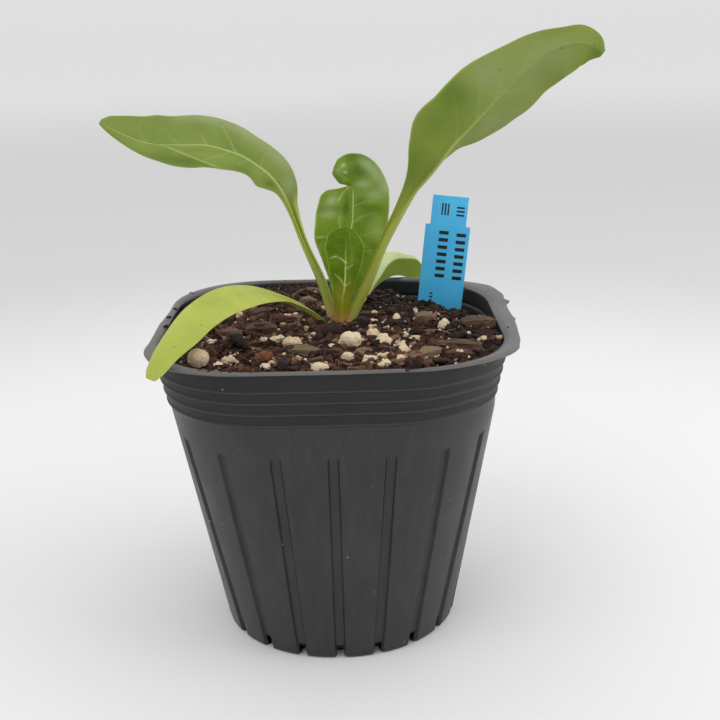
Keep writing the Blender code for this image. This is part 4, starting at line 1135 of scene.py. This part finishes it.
def leaf_skin(name, upper, under, painted_shade, painted_sheen, vein, stalk, foot, foot_ends, gloss, net, rib_fade, specular):
    """Living leaf: green between paler veins, painted shade in its folds, a painted greyish sheen, a stalk
    paling to its foot.
    """
    material, tree, surface = shader(name, Specular_IOR_Level=specular)
    read = {key: node(tree, "ShaderNodeAttribute", attribute_name=key).outputs["Fac"]
            for key in ("vein", "rib", "upper", "blade", "grown", "share", "painted_shade", "painted_sheen", "speck")}
    chart = node(tree, "ShaderNodeUVMap", uv_map="leaf_map").outputs[0]
    place = object_place(tree)
    cloud = pattern(tree, place, "Noise", 90.0, Detail=3.0, Roughness=0.5)
    fine = pattern(tree, place, "Noise", 1500.0, Detail=3.0, Roughness=0.6)
    drift = pattern(tree, chart, "Noise", 4.0).outputs["Color"]
    drift = vectors(tree, "SCALE", {0: drift, "Scale": 0.12})
    warp = vectors(tree, "ADD", {0: chart, 1: drift})
    mesh_small = pattern(tree, warp, "Voronoi", 7.0, feature="DISTANCE_TO_EDGE")
    mesh_line = ramp_between(tree, mesh_small, 0.0, 0.09, 1.0, 0.0)
    half = ramp_between(tree, read["share"], -0.10, 0.10)
    top = colour_mix(tree, half, upper[-1], upper[0])
    low = colour_mix(tree, half, under[-1], under[0])
    lamina = colour_mix(tree, read["upper"], low, top)
    dark = colour_mix(tree, 1.0, lamina, (0.84, 0.87, 0.80), "MULTIPLY")
    lamina = colour_mix(tree, ramp_between(tree, cloud, 0.35, 0.65), dark, lamina)
    # Painted shade in folds, pockets and under curled margins, and where light shines through.
    lamina = colour_mix(tree, read["painted_shade"], lamina, painted_shade)
    # Painted sheen: greyish reflections and small highlights.
    lamina = colour_mix(tree, read["painted_sheen"], lamina, painted_sheen)
    lamina = colour_mix(tree, product(tree, mesh_line, net), lamina, vein)
    lamina = colour_mix(tree, read["vein"], lamina, vein)
    fade = ramp_between(tree, read["grown"], rib_fade[0], rib_fade[1], rib_fade[2], 0.0)
    grows = ramp_between(tree, read["grown"], foot_ends[1] + 0.04, foot_ends[1] + 0.20)
    strong = ramp_between(tree, read["rib"], 0.25, 0.85)
    lamina = colour_mix(tree, product(tree, strong, product(tree, fade, grows)), lamina, vein)
    spread = maths(tree, "ABSOLUTE", read["share"])
    lamina = colour_mix(tree, ramp_between(tree, spread, 0.94, 0.995, 0.0, 0.45), lamina, vein)
    lamina = colour_mix(tree, product(tree, read["speck"], 0.75), lamina, (0.075, 0.085, 0.030))
    edge, middle, line = stalk
    stem = colour_mix(tree, ramp_between(tree, spread, 0.45, 0.75), middle, edge)
    stem = colour_mix(tree, ramp_between(tree, spread, 0.05, 0.22, 1.0, 0.0), stem, line)
    plain = colour_mix(tree, 0.5, middle, edge)
    stem = colour_mix(tree, ramp_between(tree, read["grown"], 0.08, 0.22), plain, stem)
    stem = colour_mix(tree, ramp_between(tree, read["grown"], *foot_ends), foot, stem)
    sheen = maths(tree, "SUBTRACT", cloud, product(tree, read["painted_sheen"], 0.15))
    feed(surface, Base_Color=colour_mix(tree, read["blade"], stem, lamina),
         Roughness=ramp_between(tree, sheen, 0.3, 0.7, *gloss))
    height = maths(tree, "SUBTRACT", product(tree, fine, 0.35), product(tree, mesh_line, 0.5))
    bump(tree, surface, height, 0.00012, 0.7)
    return material


# Colours of the two sides may differ between a leaf's left and right halves; on the back seed leaf
# the pale left half is painted light shining through and the olive right half painted shade.  The stalk's
# three colours are its edge, its channel and the line along the channel's middle.
leaf_piece(
    "right_leaf", thick=0.42, samples=26, strips=40, waves=0.015, pucker=0.20, swell=9.0, seed=31,
    material=leaf_skin(
        "tall_leaf_skin", upper=((0.162, 0.248, 0.022),), under=((0.225, 0.290, 0.042),),
        painted_shade=(0.092, 0.175, 0.003), painted_sheen=(0.262, 0.320, 0.118), vein=(0.390, 0.450, 0.130),
        stalk=((0.270, 0.310, 0.035), (0.350, 0.390, 0.060), (0.430, 0.470, 0.110)),
        foot=(0.56, 0.36, 0.15), foot_ends=(0.0, 0.06), gloss=(0.50, 0.68), net=0.03,
        rib_fade=(0.45, 0.88, 0.85), specular=0.25))
leaf_piece(
    "left_leaf", thick=0.42, samples=24, strips=40, waves=0.02, pucker=0.30, swell=9.0, seed=37,
    material=leaf_skin(
        "arching_leaf_skin", upper=((0.209, 0.284, 0.043),), under=((0.225, 0.290, 0.068),),
        painted_shade=(0.085, 0.150, 0.006), painted_sheen=(0.310, 0.370, 0.165), vein=(0.400, 0.490, 0.150),
        stalk=((0.450, 0.510, 0.120), (0.175, 0.240, 0.010), (0.400, 0.480, 0.060)),
        foot=(0.50, 0.33, 0.15), foot_ends=(0.0, 0.08), gloss=(0.42, 0.60), net=0.05,
        rib_fade=(0.90, 1.10, 0.95), specular=0.3))
leaf_piece(
    "centre_leaf", thick=0.45, samples=22, strips=44, waves=0.03, pucker=0.55, swell=6.5, seed=41,
    material=leaf_skin(
        "young_leaf_skin", upper=((0.200, 0.325, 0.010),), under=((0.210, 0.310, 0.040),),
        painted_shade=(0.062, 0.165, 0.002), painted_sheen=(0.440, 0.540, 0.250), vein=(0.560, 0.680, 0.240),
        stalk=((0.300, 0.330, 0.070), (0.240, 0.300, 0.045), (0.330, 0.380, 0.090)),
        foot=(0.50, 0.33, 0.12), foot_ends=(0.02, 0.20), gloss=(0.30, 0.48), net=0.10,
        rib_fade=(0.76, 0.84, 0.95), specular=0.4))
leaf_piece(
    "front_leaf", thick=0.42, samples=26, strips=34, waves=0.02, pucker=0.25, swell=5.0, seed=43,
    material=leaf_skin(
        "newest_leaf_skin", upper=((0.120, 0.215, 0.003),), under=((0.118, 0.212, 0.002),),
        painted_shade=(0.058, 0.140, 0.001), painted_sheen=(0.250, 0.350, 0.040), vein=(0.620, 0.720, 0.260),
        stalk=((0.230, 0.262, 0.012), (0.320, 0.275, 0.018), (0.340, 0.290, 0.026)),
        foot=(0.58, 0.27, 0.09), foot_ends=(0.02, 0.20), gloss=(0.46, 0.60), net=0.08,
        rib_fade=(0.55, 0.92, 0.85), specular=0.14))
leaf_piece(
    "front_cotyledon", thick=0.45, samples=18, strips=26, waves=0.01, pucker=0.10, swell=14.0, seed=47,
    material=leaf_skin(
        "front_seed_leaf_skin", upper=((0.430, 0.485, 0.085),), under=((0.380, 0.430, 0.090),),
        painted_shade=(0.330, 0.385, 0.055), painted_sheen=(0.440, 0.485, 0.150), vein=(0.430, 0.480, 0.120),
        stalk=((0.330, 0.370, 0.070), (0.330, 0.370, 0.070), (0.350, 0.390, 0.080)),
        foot=(0.45, 0.32, 0.14), foot_ends=(0.0, 0.10), gloss=(0.45, 0.6), net=0.0,
        rib_fade=(0.05, 0.22, 0.4), specular=0.25))
leaf_piece(
    "back_cotyledon", thick=0.45, samples=20, strips=26, waves=0.01, pucker=0.10, swell=14.0, seed=53,
    material=leaf_skin(
        "back_seed_leaf_skin",
        # Pale left half: painted light shining through the blade; olive right half: painted shade.
        upper=((0.600, 0.630, 0.330), (0.118, 0.165, 0.004)),
        under=((0.580, 0.610, 0.320), (0.118, 0.165, 0.004)),
        painted_shade=(0.125, 0.185, 0.006), painted_sheen=(0.300, 0.350, 0.060), vein=(0.560, 0.600, 0.260),
        stalk=((0.400, 0.420, 0.140), (0.440, 0.460, 0.160), (0.480, 0.500, 0.190)),
        foot=(0.48, 0.36, 0.16), foot_ends=(0.0, 0.10), gloss=(0.55, 0.7), net=0.0,
        rib_fade=(0.30, 0.60, 0.5), specular=0.12))


# ------------------------------------------------------------------ root crown
# The short swollen crown where all stalks meet stands just proud of the soil, and runs
# down into a tapering taproot.  It is fleshy, tan and orange, with papery scale remains.

# Radius and height of each ring, from the crown's top down to the root tip.
CROWN_PROFILE = ((0.05, 99.4), (1.6, 99.3), (3.0, 98.9), (4.4, 98.2), (5.4, 97.4), (5.9, 96.6),
                 (5.6, 95.4), (4.6, 93.6), (3.6, 91.0), (3.0, 88.6), (2.4, 83), (2.0, 77.6),
                 (1.6, 68), (1.2, 57.6), (0.85, 47), (0.6, 37.6), (0.05, 35.8))
CROWN_RIBBED_ABOVE = 90
CROWN_TURNS = 48


def crown_skin():
    """Fleshy root skin, mottled from brown to tan."""
    material, tree, surface = shader("root_crown", Specular_IOR_Level=0.4, Subsurface_Weight=0.1,
                                     Subsurface_Scale=0.001)
    mottle = pattern(tree, object_place(tree), "Noise", 320.0, Detail=5.0, Roughness=0.6)
    feed(surface, Base_Color=colour_mix(tree, ramp_between(tree, mottle, 0.35, 0.65),
                                        (0.16, 0.062, 0.024), (0.46, 0.24, 0.095)),
         Roughness=ramp_between(tree, mottle, 0.3, 0.7, 0.45, 0.7))
    bump(tree, surface, mottle, 0.0005)
    return material


def crown_piece():
    """A round body with shallow ribs where the stalks join, down to the root tip."""
    turns = np.arange(CROWN_TURNS) / CROWN_TURNS * 2 * math.pi
    rings = []
    for radius, z in CROWN_PROFILE:
        rib = 1 + 0.10 * np.sin(5 * turns + 0.7) * (z > CROWN_RIBBED_ABOVE) + 0.05 * np.sin(11 * turns)
        rings.append(np.column_stack((CROWN_X + radius * rib * np.cos(turns),
                                      CROWN_Y + radius * rib * np.sin(turns),
                                      z + 0.15 * np.sin(3 * turns))))
    faces = sheet_faces(len(rings), CROWN_TURNS, True)
    faces.append(tuple(range(CROWN_TURNS)))
    faces.append(tuple(reversed(range((len(rings) - 1) * CROWN_TURNS, len(rings) * CROWN_TURNS))))
    piece = piece_from("root_crown", np.concatenate(rings), faces, crown_skin())
    face_outwards(piece)
    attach(piece, "root")
    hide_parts("crown_and_taproot")


crown_piece()


# ------------------------------------------------------------------ plant tag
# A sky-blue strip of printed plastic, cut with a narrower head and a pointed foot, and
# pushed into the soil.  Its print is plain black bars.

TAG_AT = (35.9, 30.0, 92.8)
TAG_THICK = 0.5
TAG_EDGE = 0.12
TAG_LEAN = math.radians(6.1)
TAG_TURN = math.radians(-4.0)
TAG_OUTLINE = ((6.05, 40.8), (6.05, 30.8), (7.6, 30.8), (7.6, -24.0), (0.0, -46.0),
               (-7.6, -24.0), (-7.6, 30.8), (-6.05, 30.8), (-6.05, 40.8))


def stand_tag(points):
    """Carry points from the flat strip (x, y, out of the face) to its place in the soil."""
    stand = Matrix.Rotation(math.radians(90), 4, "X")
    place = (Matrix.Translation(TAG_AT) @ Matrix.Rotation(TAG_TURN, 4, "Z")
             @ Matrix.Rotation(TAG_LEAN, 4, "Y") @ stand)
    return [place @ Vector(point) for point in points]


def tag_plates(name, outlines, low, high, material):
    """Flat plates between two heights over the strip's face, as one piece."""
    build = bmesh.new()
    for outline in outlines:
        count = len(outline)
        corners = [(x, y, z) for z in (low, high) for x, y in outline]
        verts = [build.verts.new(point) for point in stand_tag(corners)]
        build.faces.new(list(reversed(verts[:count])))
        build.faces.new(verts[count:])
        for i in range(count):
            j = (i + 1) % count
            build.faces.new((verts[i], verts[j], verts[count + j], verts[count + i]))
    bmesh.ops.recalc_face_normals(build, faces=build.faces)
    bmesh.ops.scale(build, vec=(MM, MM, MM), verts=build.verts)
    return piece_of(name, build, material, smooth=False)


def tag_plastic():
    """Sky-blue printed plastic, smeared with soil where it goes into the mix."""
    material, tree, surface = shader("sky_blue_tag", Specular_IOR_Level=0.5)
    place = object_place(tree)
    height = node(tree, "ShaderNodeSeparateXYZ", {0: place}).outputs[2]
    cloud = pattern(tree, place, "Noise", 90.0, Detail=4.0)
    fine = pattern(tree, place, "Noise", 2600.0, Detail=2.0)
    colour = colour_mix(tree, ramp_between(tree, cloud, 0.3, 0.7),
                        (0.070, 0.540, 0.980), (0.090, 0.600, 1.000))
    smear = product(tree, ramp_between(tree, cloud, 0.50, 0.68),
                    ramp_between(tree, height, 0.092, 0.100, 0.5, 0.0))
    colour = colour_mix(tree, smear, colour, (0.10, 0.12, 0.13))
    feed(surface, Base_Color=colour, Roughness=ramp_between(tree, cloud, 0.3, 0.7, 0.34, 0.5))
    bump(tree, surface, fine, 0.00004, 0.5)
    return material


def tag_ink():
    """Black print, worn a little to the blue under it."""
    material, tree, surface = shader("black_print", Specular_IOR_Level=0.4)
    worn = pattern(tree, object_place(tree), "Noise", 1500.0, Detail=3.0)
    feed(surface, Base_Color=colour_mix(tree, ramp_between(tree, worn, 0.62, 0.8),
                                        (0.012, 0.014, 0.02), (0.05, 0.12, 0.2)),
         Roughness=ramp_between(tree, worn, 0.3, 0.7, 0.35, 0.5))
    return material


def tag_bars():
    """Plain bars: two bold rows down the strip, and short marks at its head and foot."""
    bars = [(-2.7, 0.5, 12.6 + 2.5 * k, 13.8 + 2.5 * k) for k in range(7)]
    bars += [(3.2, 6.4, 12.2 + 2.5 * k, 13.4 + 2.5 * k) for k in range(7)]
    bars += [(2.4, 5.0, 34.2 + 1.3 * k, 34.8 + 1.3 * k) for k in range(3)]
    bars += [(-2.7 + 1.0 * k, -2.2 + 1.0 * k, 34.2, 38.2) for k in range(3)]
    bars += [(-3.7, -2.8, 4.0 + 1.2 * k, 4.6 + 1.2 * k) for k in range(3)]
    return [((x0, y0), (x1, y0), (x1, y1), (x0, y1)) for x0, x1, y0, y1 in bars]


strip = tag_plates("plant_tag_strip", [TAG_OUTLINE], -0.5 * TAG_THICK, 0.5 * TAG_THICK, tag_plastic())
edge = strip.modifiers.new("edge", "BEVEL")
edge.width = TAG_EDGE * MM
edge.segments = 2
edge.limit_method = "ANGLE"
keep_evaluated(strip)
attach(strip, "root")
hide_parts("plant_tag")

marks = tag_plates("plant_tag_bars", tag_bars(), 0.5 * TAG_THICK - 0.02, 0.5 * TAG_THICK + 0.03, tag_ink())
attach(marks, "root")


# ------------------------------------------------------------------ studio
# A wide pale floor with painted light on it, a pale pool near the object greying away from it, under an
# even soft sky, with one broad lamp high on the left and a weaker one on the right.

FLOOR_HALF = 20000.0
LAMPS = (("key", (-0.55, -0.55, 0.95), 0.9, 2.4), ("fill", (0.85, -0.15, 0.42), 0.6, 2.5))
LAMP_AIM = (0, 0, 0.09)
CAMERA_AT = (0.00827, -0.33871, 0.19409)
CAMERA_AIM = (0.0, 0.95250, -0.30454)
CAMERA_ROLL = math.radians(-1.35)


def pale_floor():
    """A matt paper-like floor with painted light: a pale pool near the object, greyer away, paler far off."""
    material, tree, surface = shader("pale_floor", Roughness=0.95, Specular_IOR_Level=0.1)
    away = vectors(tree, "LENGTH", {0: object_place(tree)}).outputs["Value"]
    painted_floor_shade = colour_mix(tree, ramp_between(tree, away, 0.20, 0.55), (0.82, 0.82, 0.82), (0.65, 0.65, 0.65))
    painted_floor_shade = colour_mix(tree, ramp_between(tree, away, 0.9, 2.6), painted_floor_shade, (0.785, 0.785, 0.785))
    feed(surface, Base_Color=painted_floor_shade)
    corners = [(x * FLOOR_HALF, y * FLOOR_HALF, 0) for x, y in ((-1, -1), (1, -1), (1, 1), (-1, 1))]
    piece_from("floor", corners, [(0, 1, 2, 3)], material, smooth=False)


def soft_lamps():
    """Two square lamps turned to the plant."""
    for name, place, size, power in LAMPS:
        light = bpy.data.lights.new(name, "AREA")
        light.shape = "SQUARE"
        light.size = size
        light.energy = power
        lamp = bpy.data.objects.new(name, light)
        lamp.location = place
        lamp.rotation_euler = (Vector(LAMP_AIM) - Vector(place)).to_track_quat("-Z", "Y").to_euler()
        bpy.context.scene.collection.objects.link(lamp)


def pale_room():
    """A soft white sky, brighter overhead and towards the back."""
    world = bpy.data.worlds.new("pale_room")
    world.use_nodes = True
    tree = world.node_tree
    look = node(tree, "ShaderNodeSeparateXYZ", {0: node(tree, "ShaderNodeTexCoord").outputs["Generated"]})
    rise = ramp_between(tree, look.outputs[2], -0.05, 1.0, 0.72, 1.11, smooth=False)
    front = ramp_between(tree, look.outputs[1], -0.8, 0.5, 0.86, 1.0)
    background = tree.nodes["Background"]
    background.inputs["Color"].default_value = (1.0, 1.0, 1.0, 1)
    feed(background, Strength=product(tree, rise, front))
    bpy.context.scene.world = world


def place_camera():
    """The camera before the pot, a little above its lip."""
    lens = bpy.data.cameras.new("camera")
    lens.sensor_width = 36
    lens.lens = 55
    lens.clip_start = 0.01
    lens.clip_end = 100.0
    camera = bpy.data.objects.new("camera", lens)
    aim = Vector(CAMERA_AIM).to_track_quat("-Z", "Y").to_matrix().to_4x4()
    camera.matrix_world = Matrix.Translation(CAMERA_AT) @ aim @ Matrix.Rotation(CAMERA_ROLL, 4, "Z")
    bpy.context.scene.collection.objects.link(camera)
    bpy.context.scene.camera = camera
    bpy.context.scene.view_settings.view_transform = "Standard"


pale_floor()
soft_lamps()
pale_room()
place_camera()
